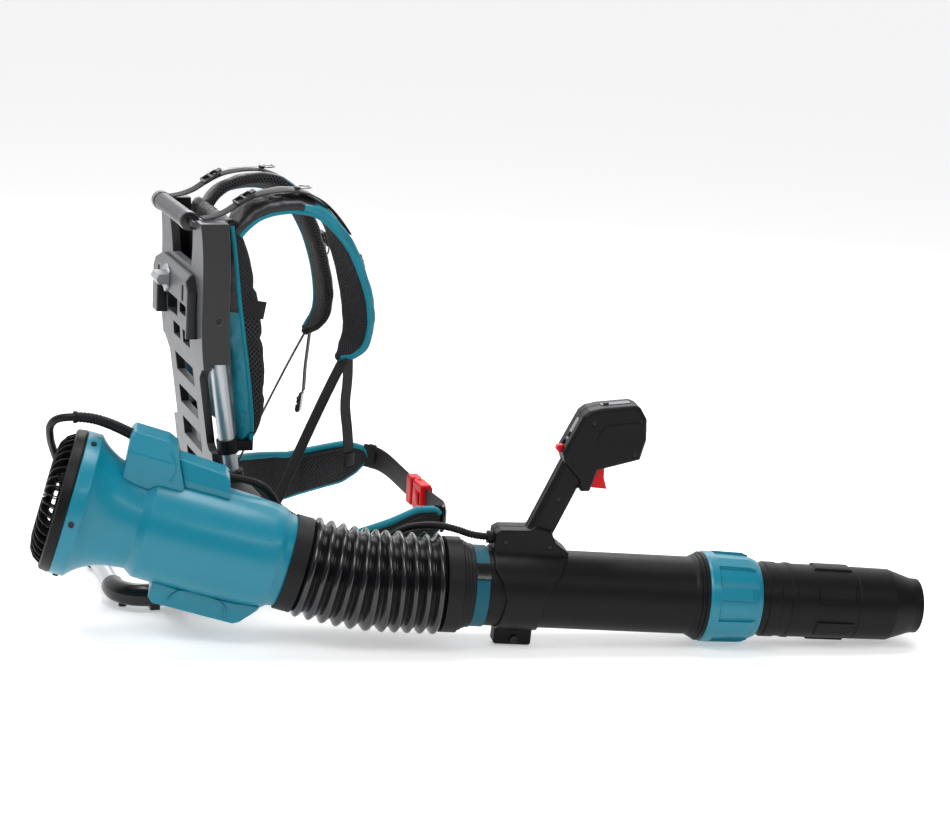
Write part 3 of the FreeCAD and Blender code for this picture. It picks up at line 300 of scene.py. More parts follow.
TEAL = (0.0, 0.175, 0.255)
BLACK = (0.0045, 0.0046, 0.005)
MATERIALS = {
    "aluminium_tube": brushed("aluminium_tube", (0.46, 0.48, 0.50), 0.36),
    "black_plastic": moulded("black_plastic", BLACK, 0.44, grain=1800, edge_light=2.6, vary=0.15),
    "black_gloss": moulded("black_gloss", GLOSS_BLACK, 0.22, grain=500, depth=0.00003, edge_light=2.5,
                           gloss=0.45),
    "grey_plate": moulded("grey_plate", (0.085, 0.087, 0.096), 0.38, grain=900, depth=0.0001, speckle=0.25,
                          edge_light=2.2, edge=0.0018, gloss=0.5, side=GLOSS_BLACK),
    "teal_plastic": moulded("teal_plastic", TEAL, 0.36, grain=2000, depth=0.00003, vary=0.05, edge_light=1.7,
                            edge=0.0016, coat=0.1, gloss=0.4),
    "silver_knob": moulded("silver_knob", (0.30, 0.31, 0.33), 0.3, metal=0.85, edge_light=1.8),
    "grip_silver": brushed("grip_silver", (0.07, 0.072, 0.078), 0.38, (30.0, 900.0, 30.0)),
    "pad_fabric": satin("pad_fabric", BLACK, 0.5),
    "webbing": woven("webbing", (0.010, 0.010, 0.011), 0.0021, 0.0016),
    "teal_webbing": woven("teal_webbing", (0.0, 0.17, 0.25), 0.0021, 0.0016),
    "red_plastic": moulded("red_plastic", (0.6, 0.006, 0.010), 0.36, vary=0.05, edge_light=1.2),
    "rubber": moulded("rubber", (0.009, 0.009, 0.010), 0.5, grain=1100, edge_light=1.8),
    "cable_rubber": moulded("cable_rubber", (0.007, 0.007, 0.008), 0.4, grain=700, edge_light=1.6),
    "steel": brushed("steel", (0.42, 0.43, 0.45), 0.26),
    "black_steel": moulded("black_steel", (0.03, 0.03, 0.032), 0.3, metal=0.9, edge_light=2.0),
    "display": moulded("display", (0.03, 0.034, 0.045), 0.12, grain=200, depth=0.00001, edge_light=1.5,
                       coat=0.8),
    "board": moulded("board", (0.02, 0.12, 0.05), 0.4),
}
FOLD_RUBBER = moulded("fold_rubber", (0.005, 0.005, 0.006), 0.2, grain=300, depth=0.00005, edge_light=1.0,
                      edge=0.0003, coat=0.15, gloss=0.5)
MESH_FABRIC = spacer_mesh("mesh_fabric", (0.032, 0.032, 0.035), (0.0015, 0.0015, 0.0015), 0.0048)
TEAL_SATIN = satin("teal_satin", (0.0, 0.17, 0.24), 0.34)
BLACK_SATIN = satin("black_satin", (0.008, 0.008, 0.010), 0.36)
PAD_FABRICS = [MESH_FABRIC, BLACK_SATIN, TEAL_SATIN]
PIPING = woven("piping", (0.0, 0.20, 0.27), 0.0034, 0.0034, 0.5, 0.05, True, 0.001)
THREAD = woven("thread", (0.10, 0.10, 0.11), 0.0008, 0.0008, 0.6, 0.0, True, 0.0001)


def paint_cad():
    """Give every CAD node the material of its slot."""
    for sub in frame["record"]["subparts"]:
        node = frame["nodes"][sub["node"]]
        node.data.materials.clear()
        node.data.materials.append(MATERIALS[sub["material_slot"]])


def soften_cad(voxel, rounds, *names):
    """Round the edges of moulded CAD parts, in silhouette as well as in shade."""
    for name in names:
        node = frame["nodes"][name]
        remesh = node.modifiers.new("remesh", "REMESH")
        remesh.mode = "VOXEL"
        remesh.voxel_size = voxel
        remesh.use_smooth_shade = True
        smooth = node.modifiers.new("smooth", "SMOOTH")
        smooth.factor = 0.5
        smooth.iterations = rounds


# ---- mesh tools ----
def spline_object(name, points, resolution):
    """A curve object with one smooth spline that has these control points."""
    curve = bpy.data.curves.new(name, "CURVE")
    curve.dimensions = "3D"
    spline = curve.splines.new("NURBS")
    spline.points.add(len(points) - 1)
    for knot, point in zip(spline.points, points):
        knot.co = (*(point * MM), 1.0)
    spline.order_u = 3
    spline.use_endpoint_u = True
    spline.resolution_u = resolution
    holder = bpy.data.objects.new(name, curve)
    bpy.context.scene.collection.objects.link(holder)
    return holder, curve


def route(points):
    """Points along the smooth line that a cord's control points make, read from its spline."""
    holder, curve = spline_object("route", points, 16)
    bpy.context.view_layer.update()
    mesh = bpy.data.meshes.new_from_object(holder)
    line = [v.co / MM for v in mesh.vertices]
    bpy.data.objects.remove(holder)
    bpy.data.meshes.remove(mesh)
    bpy.data.curves.remove(curve)
    return line


def lengths(line):
    passed = [0.0]
    for a, b in zip(line, line[1:]):
        passed.append(passed[-1] + (b - a).length)
    return passed


def at_length(line, passed, distance):
    """Point and direction at a distance along a line of points."""
    for i in range(1, len(line)):
        if passed[i] >= distance or i == len(line) - 1:
            step = max(passed[i] - passed[i - 1], 1e-6)
            share = (distance - passed[i - 1]) / step
            return line[i - 1].lerp(line[i], share), (line[i] - line[i - 1]).normalized()


def values(table, x):
    """Straight-line interpolation in a table of (x, value) pairs."""
    if x <= table[0][0]:
        return table[0][1]
    for (x0, v0), (x1, v1) in zip(table, table[1:]):
        if x <= x1:
            return v0 + (v1 - v0) * (x - x0) / max(x1 - x0, 1e-6)
    return table[-1][1]


def loft(rings, caps=True):
    """Points, faces and surface coordinates of a skin over rings of equal size."""
    count = len(rings[0])
    points = [p for ring in rings for p in ring]
    along = [0.0]
    for a, b in zip(rings, rings[1:]):
        along.append(along[-1] + sum((q - p).length for p, q in zip(a, b)) / count)
    widest = max(rings, key=lambda ring: (ring[0] - ring[count // 2]).length)
    around = [0.0]
    for j in range(count):
        around.append(around[-1] + (widest[(j + 1) % count] - widest[j]).length)
    faces, coordinates = [], []
    for i in range(len(rings) - 1):
        for j in range(count):
            k = (j + 1) % count
            faces.append((i * count + j, i * count + k, (i + 1) * count + k, (i + 1) * count + j))
            u0, u1, v0, v1 = along[i] * MM, along[i + 1] * MM, around[j] * MM, around[j + 1] * MM
            coordinates.append([(u0, v0), (u0, v1), (u1, v1), (u1, v0)])
    if caps:
        last = (len(rings) - 1) * count
        faces.append(tuple(reversed(range(count))))
        faces.append(tuple(range(last, last + count)))
        coordinates += [[(0.0, 0.0)] * count, [(0.0, 0.0)] * count]
    return points, faces, coordinates


def make_piece(name, parts, body, materials, chooser=None, sharp=50.0):
    """One object from one or more lofts. chooser gives a face's material from its index and centre."""
    points, faces, coordinates = [], [], []
    for part_points, part_faces, part_coordinates in parts:
        start = len(points)
        points += part_points
        faces += [tuple(i + start for i in face) for face in part_faces]
        coordinates += part_coordinates
    mesh = bpy.data.meshes.new(name)
    mesh.from_pydata([tuple(p * MM) for p in points], [], faces)
    layer = mesh.uv_layers.new(name="surface")
    flat = [c for face in coordinates for c in face]
    for loop, c in zip(layer.data, flat):
        loop.uv = c
    for material in materials:
        mesh.materials.append(material)
    if chooser:
        for index, polygon in enumerate(mesh.polygons):
            polygon.material_index = chooser(index, polygon.center / MM)
    work = bmesh.new()
    work.from_mesh(mesh)
    bmesh.ops.recalc_face_normals(work, faces=work.faces)
    for face in work.faces:
        face.smooth = True
    for edge in work.edges:
        if len(edge.link_faces) == 2 and edge.calc_face_angle() > math.radians(sharp):
            edge.smooth = False
    work.to_mesh(mesh)
    work.free()
    obj = bpy.data.objects.new(name, mesh)
    bpy.context.scene.collection.objects.link(obj)
    if body:
        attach(obj, body)
    return obj


def plain_piece(name, parts, slot, body="carrier", sharp=50.0):
    """A piece all in its slot's own material."""
    return make_piece(name, parts, body, [MATERIALS[slot]], sharp=sharp)


def cross_frame(way):
    """Two directions square to a way, the second as upright as can be."""
    side = way.cross(Vector((0, 0, 1))).normalized()
    return side, side.cross(way).normalized()


def tube_rings(line, start, end, radius, steps, count=20):
    """Rings along a line between two distances; radius is a function of the share of the way."""
    passed = lengths(line)
    rings = []
    for i in range(steps + 1):
        share = i / steps
        point, way = at_length(line, passed, start + (end - start) * share)
        side, up = cross_frame(way)
        r = radius(share)
        ring = []
        for j in range(count):
            a = 2 * math.pi * j / count
            ring.append(point + (side * math.cos(a) + up * math.sin(a)) * r)
        rings.append(ring)
    return rings


def turned_rings(place, profile, count=96):
    """Rings about a placement's X axis, from (x, radius) pairs."""
    rings = []
    for x, r in profile:
        ring = []
        for j in range(count):
            a = 2 * math.pi * j / count
            ring.append(place @ Vector((x, r * math.cos(a), r * math.sin(a))))
        rings.append(ring)
    return rings


def rounded_bar(place, size, r=1.2):
    """A rounded box as a loft: sizes along the placement's own axes, about its origin."""
    half = [s / 2 for s in size]
    rings = []
    for x, inset in ((-half[0], r), (-half[0] + r, 0.0), (half[0] - r, 0.0), (half[0], r)):
        ring = []
        for sy, sz, ay, az in ((1, 1, 0, 1), (1, 1, 1, 0), (-1, 1, 1, 0), (-1, 1, 0, 1),
                               (-1, -1, 0, 1), (-1, -1, 1, 0), (1, -1, 1, 0), (1, -1, 0, 1)):
            y = sy * (half[1] - inset - (r if ay else 0.0))
            z = sz * (half[2] - inset - (r if az else 0.0))
            ring.append(place @ Vector((x, y, z)))
        rings.append(ring)
    return loft(rings)


def ribbon(line, width_way, width, thick, steps=24):
    """Flat webbing along a line of points, with soft edges."""
    passed = lengths(line)
    rings = []
    for i in range(steps + 1):
        point, way = at_length(line, passed, passed[-1] * i / steps)
        across = (width_way - way * width_way.dot(way)).normalized()
        face = way.cross(across).normalized()
        ring = []
        for w, t in ((1, 0), (0.93, 1), (0.4, 1), (-0.4, 1), (-0.93, 1), (-1, 0), (-0.93, -1), (-0.4, -1),
                     (0.4, -1), (0.93, -1)):
            ring.append(point + across * (w * width / 2) + face * (t * thick / 2))
        rings.append(ring)
    return loft(rings)


def smooth_line(points):
    return route([Vector(p) for p in points])


def side_line(side, points):
    """A smooth line through carrier points given for the left side, side -1 mirroring them."""
    return smooth_line([carrier(x, side * y, z) for x, y, z in points])


# ---- camera and studio ----
def build_camera():
    right, up = Vector(CAMERA_RIGHT), Vector(CAMERA_UP)
    back = right.cross(up).normalized()
    data = bpy.data.cameras.new("camera")
    camera = bpy.data.objects.new("camera", data)
    bpy.context.scene.collection.objects.link(camera)
    turn = Matrix((right, up, back)).transposed().to_4x4()
    camera.matrix_world = Matrix.Translation(carrier(*CAMERA_PLACE) * MM) @ turn
    data.sensor_width = SENSOR
    data.lens = SENSOR * FOCAL / IMAGE_WIDTH
    data.clip_end = 50
    bpy.context.scene.camera = camera


def area_light(name, place, target, size, power):
    data = bpy.data.lights.new(name, "AREA")
    data.shape = "RECTANGLE"
    data.size, data.size_y = size
    data.energy = power
    lamp = bpy.data.objects.new(name, data)
    lamp.location = place
    lamp.rotation_euler = (Vector(target) - Vector(place)).to_track_quat("-Z", "Y").to_euler()
    bpy.context.scene.collection.objects.link(lamp)


def build_studio():
    bpy.ops.mesh.primitive_plane_add(size=30, location=(0, 0, 0))
    floor = bpy.context.object
    floor.name = "floor"
    t = Tree("floor")
    t.shader.inputs["Base Color"].default_value = (0.85, 0.85, 0.85, 1)
    t.shader.inputs["Emission Color"].default_value = (1, 1, 1, 1)
    t.shader.inputs["Emission Strength"].default_value = 0.4
    floor.data.materials.append(t.finish(rough=0.9, gloss=0.1))
    build_world()
    bpy.context.scene.view_settings.view_transform = "Standard"
    area_light("key", (-1.6, -1.2, 2.4), (0, -0.1, 0.2), (1.6, 0.8), 42)
    area_light("strip", (0.7, -2.4, 1.9), (0.1, -0.2, 0.1), (2.4, 0.25), 14)
    area_light("top", (0.1, 0.2, 2.4), (0, 0, 0.1), (1.4, 0.9), 34)
    area_light("back", (0.8, 2.2, 1.8), (0, 0, 0.2), (2.0, 1.0), 22)


def build_world():
    """White behind the object and dimmer in front of it, so that dark plastics keep their depth."""
    world = bpy.data.worlds.new("world")
    world.use_nodes = True
    nodes, links = world.node_tree.nodes, world.node_tree.links
    parts = nodes.new("ShaderNodeSeparateXYZ")
    links.new(nodes.new("ShaderNodeTexCoord").outputs["Generated"], parts.inputs[0])
    fade = nodes.new("ShaderNodeMapRange")
    links.new(parts.outputs["Y"], fade.inputs["Value"])
    for key, value in (("From Min", -0.1), ("From Max", 0.55), ("To Min", 0.16), ("To Max", 1.3)):
        fade.inputs[key].default_value = value
    links.new(fade.outputs[0], nodes["Background"].inputs["Strength"])
    nodes["Background"].inputs["Color"].default_value = (1, 1, 1, 1)
    bpy.context.scene.world = world


# ---- power cable, conduit ----
def build_cable():
    """The power lead: out of its bend relief, round the guard, down to its coil on the base loop."""
    lip = HOUSING @ Vector(SLEEVE_LINE[-1])
    points = [lip] + [HOUSING @ Vector(p) for p in CABLE_FREE] + [carrier(*p) for p in CABLE_BASE]
    high = COIL_LOW_Z + COIL_TURNS * COIL_PITCH
    per_turn = 14
    steps = round(COIL_TURNS * per_turn)
    outward = 1 / math.cos(math.pi / per_turn) ** 0.5
    for i in range(steps + 1):
        a = -math.pi / 2 + 2 * math.pi * COIL_TURNS * i / steps
        r = COIL_R * outward
        z = high + (COIL_LOW_Z - high) * i / steps
        points.append(carrier(COIL_X + r * math.cos(a), r * math.sin(a), z))
    for y, rise in ((16, 0.4), (30, 1.6), (PLUG_Y + 2, 3.2)):
        points.append(carrier(COIL_X + COIL_R, y, COIL_LOW_Z + rise))
    lead, curve = spline_object("power_lead", points, 12)
    curve.bevel_depth = CABLE_R * MM
    curve.bevel_resolution = 5
    curve.use_fill_caps = True
    curve.materials.append(MATERIALS["cable_rubber"])
    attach(lead, "carrier")
    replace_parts(lead, "power_cable", "power_cable_coil")
    build_sleeve()


def build_sleeve():
    """Tapered bend relief: ribbed near its lip."""
    line = route([HOUSING @ Vector(p) for p in SLEEVE_LINE])
    total = lengths(line)[-1]

    def radius(share):
        from_lip = (1 - share) * total
        if from_lip < 5:
            return SLEEVE_LIP_R
        ribs = 0.35 * math.cos(from_lip * 2 * math.pi / SLEEVE_RIB_PITCH) if from_lip < 38 else 0.0
        return SLEEVE_R + (1 - share) + ribs

    sleeve = plain_piece("bend_relief", [loft(tube_rings(line, 0, total, radius, 120, 24))], "cable_rubber")
    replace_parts(sleeve, "cable_sleeve")


def bellows_points():
    start = HOUSING @ Vector((HOUSING_LENGTH + CUFF_L, 0, 0))
    end = TUBE @ Vector((TUBE_BACK, 0, 0))
    reach = (KNEE - start).length
    return [start, KNEE, KNEE + (end - KNEE).normalized() * reach, end]


def conduit_at_middle():
    """The conduit's line, the distance where it passes the bellows' middle ring, and that middle."""
    points = [HOUSING @ Vector(p) for p in CONDUIT_HOUSING] + [carrier(*p) for p in CONDUIT_MIDDLE]
    points += [TUBE @ Vector(p) for p in CONDUIT_TUBE]
    line = route(points)
    passed = lengths(line)
    bellows = route(bellows_points())
    centre, along = at_length(bellows, lengths(bellows), lengths(bellows)[-1] / 2)
    split = min(passed, key=lambda d: abs((at_length(line, passed, d)[0] - centre).dot(along)))
    return line, split, centre


def build_conduit():
    """The corrugated conduit in two halves, which meet at the bellows' middle ring."""
    line, split, centre = conduit_at_middle()
    total = lengths(line)[-1]
    bellows = route(bellows_points())

    def ribbed(length):
        folds = round(length / RIB_PITCH)
        return lambda share: CONDUIT_R - RIB_DEPTH * (
            0.5 + 0.5 * math.cos(2 * math.pi * share * folds)) ** 1.5

    for name, node, low, high, bodies in (
            ("conduit_folds_rear", "conduit_rear", 0.0, split, ("carrier", "bellows_link")),
            ("conduit_folds_front", "conduit_front", split, total, ("bellows_link", "duct_tube"))):
        rings = tube_rings(line, low, high, ribbed(high - low), round((high - low) / RIB_PITCH) * 6, 14)
        obj = plain_piece(name, [loft(rings)], "cable_rubber", None)
        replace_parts(obj, node)
        if node == "conduit_rear":
            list(bodies)
            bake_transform(obj)
        else:
            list(bodies)
            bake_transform(obj)


# ---- bellows ----
def fold_rings(line, start, end, folds, count=72):
    """Outer skin with rounded folds, then the smooth bore on the way back."""
    def outer(share):
        wave = 0.5 - 0.5 * math.cos(2 * math.pi * share * folds)
        return FOLD_ROOT + FOLD_HEIGHT * wave ** 0.75

    skin = tube_rings(line, start, end, outer, folds * 16, count)
    bore = tube_rings(line, start, end, lambda share: FOLD_BORE, 4, count)
    return skin + list(reversed(bore)) + [skin[0]]


def build_bellows():
    """Two sets of folds, built once in place, and the rigid fold between them."""
    line = route(bellows_points())
    total = lengths(line)[-1]
    half = total / 2
    middle, _ = at_length(line, lengths(line), half)
    skin = loft(fold_rings(line, 0, half - RING_HALF, SIDE_FOLDS), False)
    rear = make_piece("bellows_folds_rear", [skin], None, [FOLD_RUBBER])
    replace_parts(rear, "bellows_rear")
    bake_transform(rear)
    skin = loft(fold_rings(line, half + RING_HALF, total, SIDE_FOLDS), False)
    front = make_piece("bellows_folds_front", [skin], None, [FOLD_RUBBER])
    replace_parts(front, "bellows_front")
    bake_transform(front)
    make_middle_fold(line, half)


def make_middle_fold(line, half):
    """The middle fold with the eye that carries the conduit."""
    folds = fold_rings(line, half - RING_HALF, half + RING_HALF, 1)
    conduit, split, centre = conduit_at_middle()
    eye, _ = at_length(conduit, lengths(conduit), split)
    sleeve = tube_rings(conduit, split - 5, split + 5,
                        lambda share: EYE_R + 0.5 * math.sin(math.pi * share), 8, 20)
    outward = (eye - centre).normalized()
    reach = (eye - centre).length
    stalk = tube_rings([centre + outward * 66, centre + outward * (reach - 5)], 0, reach - 71,
                       lambda share: STALK_R, 6, 12)
    parts = [loft(folds, False), loft(sleeve), loft(stalk)]
    fold = make_piece("bellows_fold_middle", parts, "bellows_link", [FOLD_RUBBER])
    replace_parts(fold, "bellows_ring")


# ---- fan housing shell ----
def build_shell():
    """The housing with a smooth flare, a crisp chamfer and a real wall."""
    flare = [(22, 98.5), (25, 95.2), (30, 90.5), (36, 86), (43, 81.6), (51, 77.6), (60, 74.4), (70, 71.8),
             (80, 70.1), (90, 69), (97, 68.5)]
    outer = [(0, 99.6), (1.2, 101), (18.4, 101), (20.4, 100.4)] + flare
    outer += [(109, 76.8), (130, 77.4), (160, 77.9), (190, 78), (220, 77.6),
              (250, 76.5), (275, 74.6), (291, 72.6), (293, 71.6), (298, 67.2), (300, 66.3), (309.5, 64.5)]
    inner = [(x, r - 3) for x, r in reversed(outer) if 25 <= x <= 290] + [(19, 92), (0, 96)]
    rings = turned_rings(HOUSING, outer + [(309.5, 61.5), (297, 62.5)] + inner + [outer[0]], 128)
    shell = plain_piece("housing_shell", [loft(rings, False)], "teal_plastic", sharp=28)
    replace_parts(shell, "fan_housing")


# ---- harness ----
def section_points(half_width, half_thick, square_w=0.42, square_t=0.75, count=36):
    """A crowned, rounded strap section as (across, through) pairs."""
    points = []
    for j in range(count):
        a = 2 * math.pi * (j + 0.5) / count
        c, s = math.cos(a), math.sin(a)
        points.append((half_width * math.copysign(abs(c) ** square_w, c),
                       half_thick * math.copysign(abs(s) ** square_t, s)))
    return points


def wrinkle(point, scale, depth):
    return noise.noise(point / scale) * depth


def strap_frames(side):
    """Point, outward normal and across direction along one shoulder strap."""
    line = route([Vector((x, 0, z)) for x, z in STRAP_LINE])
    passed = lengths(line)
    total = passed[-1]
    frames = []
    for i in range(STRAP_STEPS + 1):
        share = i / STRAP_STEPS
        point, way = at_length(line, passed, total * share)
        normal = Vector((-way.z, 0, way.x))
        tilt = math.radians(values(STRAP_TILT[side], share))
        across = Vector((0, side * math.cos(tilt), 0)) - normal * math.sin(tilt)
        crown = normal * math.cos(tilt) + Vector((0, side * math.sin(tilt), 0))
        centre = point + Vector((0, side * STRAP_Y, 0)) - normal * STRAP_T / 2
        frames.append((share, centre, crown, across, way))
    return frames


def strap_half(share):
    """Half the strap's width at a share of its length."""
    return values([(0, 26), (0.06, 30), (0.2, 32), (0.4, 31), (0.62, 33), (0.82, 33), (0.92, 29), (0.97, 22),
                   (1, 9)], share)


def build_strap(side, node):
    rings, pipe = [], []
    for share, centre, crown, across, way in strap_frames(side):
        half = strap_half(share)
        thick = values([(0, 7.5), (0.1, 9), (0.8, 9), (1, 5.5)], share)
        ring = []
        for w, t in section_points(half, thick):
            point = centre + across * w + crown * t
            point += crown * wrinkle(point, 17, 1.3)
            ring.append(point - ORIGIN)
        rings.append(ring)
        pipe.append(centre + across * (half * 0.93) - crown * thick * 0.66 - ORIGIN)
    count = len(rings[0])
    # close the far end with a rounded nose
    for shrink, push in ((0.86, 3.5), (0.6, 6.0), (0.3, 7.2)):
        middle = sum(rings[STRAP_STEPS], Vector()) / count
        rings.append([middle + (p - middle) * shrink + way * push for p in rings[STRAP_STEPS]])

    def chooser(index, _centre):
        i, a = index // count, 2 * math.pi * ((index % count) + 0.5) / count
        outer = math.cos(a) > 0.72
        if outer and math.sin(a) > -0.75:
            return 2 if 26 < i < 92 else 1
        if math.sin(a) > 0 and math.cos(a) > -0.9:
            return 2 if 30 < i < 44 else 1
        return 0

    name = "shoulder_pad_" + ("left" if side > 0 else "right")
    strap = make_piece(name, [loft(rings)], "carrier", PAD_FABRICS, chooser)
    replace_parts(strap, node)
    braid = loft(tube_rings(pipe, 0, lengths(pipe)[-1], lambda share: PIPING_R, 170, 12))
    make_piece(name + "_piping", [braid], "carrier", [PIPING])


def pad_end(ring):
    """Rings that close an end of the pad: its panel bulges a little between its seams."""
    closing = []
    out = math.copysign(1.0, ring[0].y + ORIGIN.y)
    for share in (0.12, 0.3, 0.5, 0.7, 0.88, 0.97):
        row = []
        for point in ring:
            z = point.z
            middle = values([(238, 134), (345, 128), (440, 120), (572, 104)], z)
            inner = Vector((middle - ORIGIN.x, point.y, 0.94 * z + 0.06 * 400))
            spot = point.lerp(inner, share)
            crease = wrinkle(spot + ORIGIN, 15, 2.4) * math.sin(math.pi * min(1.0, share + 0.12))
            row.append(spot + Vector((0, out * (2.6 * math.sin(math.pi * share / 2) + crease), 0)))
        closing.append(row)
    return closing


def build_back_pad():
    """Back pad: crowned mesh front with sewn channels, satin gusset and piping."""
    outline = smooth_line([Vector((x, 0, z)) for x, z in PAD_OUTLINE + [PAD_OUTLINE[0]]])
    passed = lengths(outline)
    count = 84
    base = [at_length(outline, passed, passed[-1] * j / count) for j in range(count)]
    centre = sum((p for p, _ in base), Vector()) / count
    rings, rows = [], 40
    for i in range(rows + 1):
        y = -PAD_HALF + 2 * PAD_HALF * i / rows
        y = math.copysign(PAD_HALF * abs(y / PAD_HALF) ** 0.85, y)
        edge = max(0.0, (abs(y) - (PAD_HALF - 13)) / 13)
        inset = 1.5 + 7.5 * (1 - math.sqrt(max(0.0, 1 - edge * edge)))
        ring = []
        for point, way in base:
            normal = Vector((way.z, 0, -way.x))
            if normal.dot(point - centre) < 0 and abs(normal.dot(point - centre)) > 4:
                normal = -normal
            front = point.x > values([(240, 138), (345, 134), (480, 118), (572, 104)], point.z)
            groove = 0.0
            if front:
                groove = sum(4.0 * math.exp(-((point.z - z) / 6.0) ** 2) for z in (318, 396, 474))
                groove += 3.0 * math.exp(-(y / 7.0) ** 2)
            spot = Vector((point.x, y, point.z)) - normal * (inset + groove)
            ring.append(spot + normal * wrinkle(spot, 21, 1.4) - ORIGIN)
        rings.append(ring)
    rings = pad_end(rings[0])[::-1] + rings + pad_end(rings[-1])

    def chooser(_index, centre_at):
        spot = centre_at + ORIGIN
        if spot.x > values(PAD_SEAM, spot.z):
            return 0
        return 2 if spot.z < 440 else 1

    pad = make_piece("back_pad_cover", [loft(rings)], "carrier", PAD_FABRICS, chooser)
    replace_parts(pad, "back_pad")
    braids = []
    for side in (-1, 1):
        line = smooth_line([carrier(x, side * (PAD_HALF + 1.5), z) for z, x in PAD_SEAM])
        braids.append(loft(tube_rings(line, 0, lengths(line)[-1], lambda share: PIPING_R, 150, 12)))
    make_piece("back_pad_piping", braids, "carrier", [PIPING])
    tabs = []
    for side in (-1, 1):
        tab = ((104, 106, 452), (118, 111.5, 446), (146, 111.5, 440), (155, 105, 438))
        tabs.append(ribbon(side_line(side, tab), Vector((0.1, 0, 1)), 26, 1.8))
    plain_piece("back_pad_tabs", tabs, "webbing")


def belt_plan():
    half = [Vector((x, y, 0)) for x, y in BELT_LINE]
    other = [Vector((p.x, -p.y, 0)) for p in reversed(half[:-1])]
    return route(half + other)


def build_belt():
    line = belt_plan()
    passed = lengths(line)
    total = passed[-1]
    rings, edges = [], {"high": [], "low": []}
    steps = 120
    for i in range(steps + 1):
        point, way = at_length(line, passed, total * i / steps)
        outward = Vector((way.y, -way.x, 0))
        side = 1 if point.y > 0 else -1
        share = min(1.0, abs(point.y) / 60)
        tip = min(i, steps - i) / 3.0
        x = point.x + 12 * max(0.0, 1 - tip)
        low = values(BELT_LOW[side], x) * share + 64 * (1 - share)
        high = values(BELT_HIGH[side], x) * share + 150 * (1 - share)
        middle, half = (low + high) / 2, (high - low) / 2 - 1.5
        thick = BELT_T / 2 - 0.5
        ring = []
        for w, t in section_points(half, thick, 0.3, 0.6):
            spot = point + outward * (BELT_T / 2) + Vector((0, 0, middle + w)) + outward * t
            ring.append(spot + outward * wrinkle(spot, 19, 1.2) - ORIGIN)
        rings.append(ring)
        centre = point + outward * (BELT_T / 2) - ORIGIN
        edges["high"].append(centre + Vector((0, 0, middle + half - 1.5)))
        edges["low"].append(centre + Vector((0, 0, middle - half + 1.5)))
    count = len(rings[0])

    def chooser(index, _centre):
        a = 2 * math.pi * ((index % count) + 0.5) / count
        return 1 if abs(math.cos(a)) > 0.97 else 0

    belt = make_piece("waist_belt_pad", [loft(rings)], "carrier", [MESH_FABRIC, TEAL_SATIN],
                      chooser)
    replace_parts(belt, "waist_belt")
    bindings = []
    for name, radius in (("high", 6.2), ("low", 4.6)):
        points = edges[name]
        bindings.append(loft(tube_rings(points, 0, lengths(points)[-1], lambda share: radius, 200, 10)))
    make_piece("waist_belt_binding", bindings, "carrier", [PIPING])


def stitches(line, spacing, length, radius):
    """A row of thread stitches just proud of a seam line."""
    passed = lengths(line)
    rows = []
    for i in range(int(passed[-1] / spacing)):
        start = i * spacing
        ends = [at_length(line, passed, start + d)[0] for d in (0, length / 2, length)]
        rows.append(loft(tube_rings(ends, 0, lengths(ends)[-1],
                                    lambda share: radius * math.sin(0.4 + 2.3 * share), 3, 6)))
    return rows


def build_stitching():
    """Box stitching on the webbing and a stitch row along both edges of each belt wing."""
    rows = []
    for side in (-1, 1):
        for edge in (-11, 11):
            crest = [(x, 98 + side * edge, z) for x, z in ((150, 611), (178, 613.4), (205, 613.8))]
            rows += stitches(side_line(side, crest), 3.2, 2.2, 0.45)
    plan = belt_plan()
    for lift in (0, 1):
        line = []
        passed = lengths(plan)
        for i in range(121):
            point, way = at_length(plan, passed, passed[-1] * i / 120)
            side = 1 if point.y > 0 else -1
            if abs(point.y) < 62 or point.x > 398:
                continue
            outward = Vector((way.y, -way.x, 0))
            z = values(BELT_HIGH[side], point.x) - 12 if lift else values(BELT_LOW[side], point.x) + 12
            line.append(point + outward * (BELT_T + 0.6) + Vector((0, 0, z)) - ORIGIN)
        halves = [[p for p in line if p.y + ORIGIN.y > 0], [p for p in line if p.y + ORIGIN.y < 0]]
        for half in halves:
            rows += stitches(half, 5.0, 3.2, 0.5)
    make_piece("harness_stitching", rows, "carrier", [THREAD])


def build_webbing():
    """Load lifters, lower straps and loose tails of 22 to 27 mm webbing, and the belt's own."""
    strips = []
    lifter = [(60, 571), (86, 574), (118, 597), (150, 609.5), (205, 612.5), (250, 590), (278, 549)]
    lower = [(279, 99, 362), (262, 101, 330), (215, 107, 228), (186, 111, 162), (178, 112, 145)]
    for side in (-1, 1):
        line = side_line(side, [(x, 98, z) for x, z in lifter])
        strips.append(ribbon(line, Vector((0, 1, 0)), 27, 2.0, 48))
        strips.append(ribbon(side_line(side, lower), Vector((0.3, side * 0.95, 0)), 24, 2.0, 30))
    near = [(283, 366), (285, 335), (281, 295), (288, 255), (291, 222)]
    far = [(288, 354), (286, 330), (283, 300), (283, 280), (282, 262)]
    strips.append(ribbon(side_line(-1, [(x, 106, z) for x, z in near]), Vector((1, 0.6, 0)), 22, 1.9, 30))
    strips.append(ribbon(side_line(1, [(x, 111, z) for x, z in far]), Vector((0.5, 1, 0)), 24, 1.9, 30))
    end = along_frame(carrier(292, -106, 211), Vector((0, 0, 1)), Vector((1, 0.6, 0)))
    strips.append(rounded_bar(end, (22, 24, 5.5), 2.2))
    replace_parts(plain_piece("harness_webbing", strips, "webbing"), "strap_webbing")

    belt = [(404, 175, 137), (422, 171, 134), (434, 140, 131), (440, 90, 124), (442, 36, 121)]
    strips = [ribbon(side_line(side, belt), Vector((0, 0, 1)), 38, 2.2, 36) for side in (-1, 1)]
    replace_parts(plain_piece("belt_webbing_strips", strips, "webbing"), "belt_webbing")


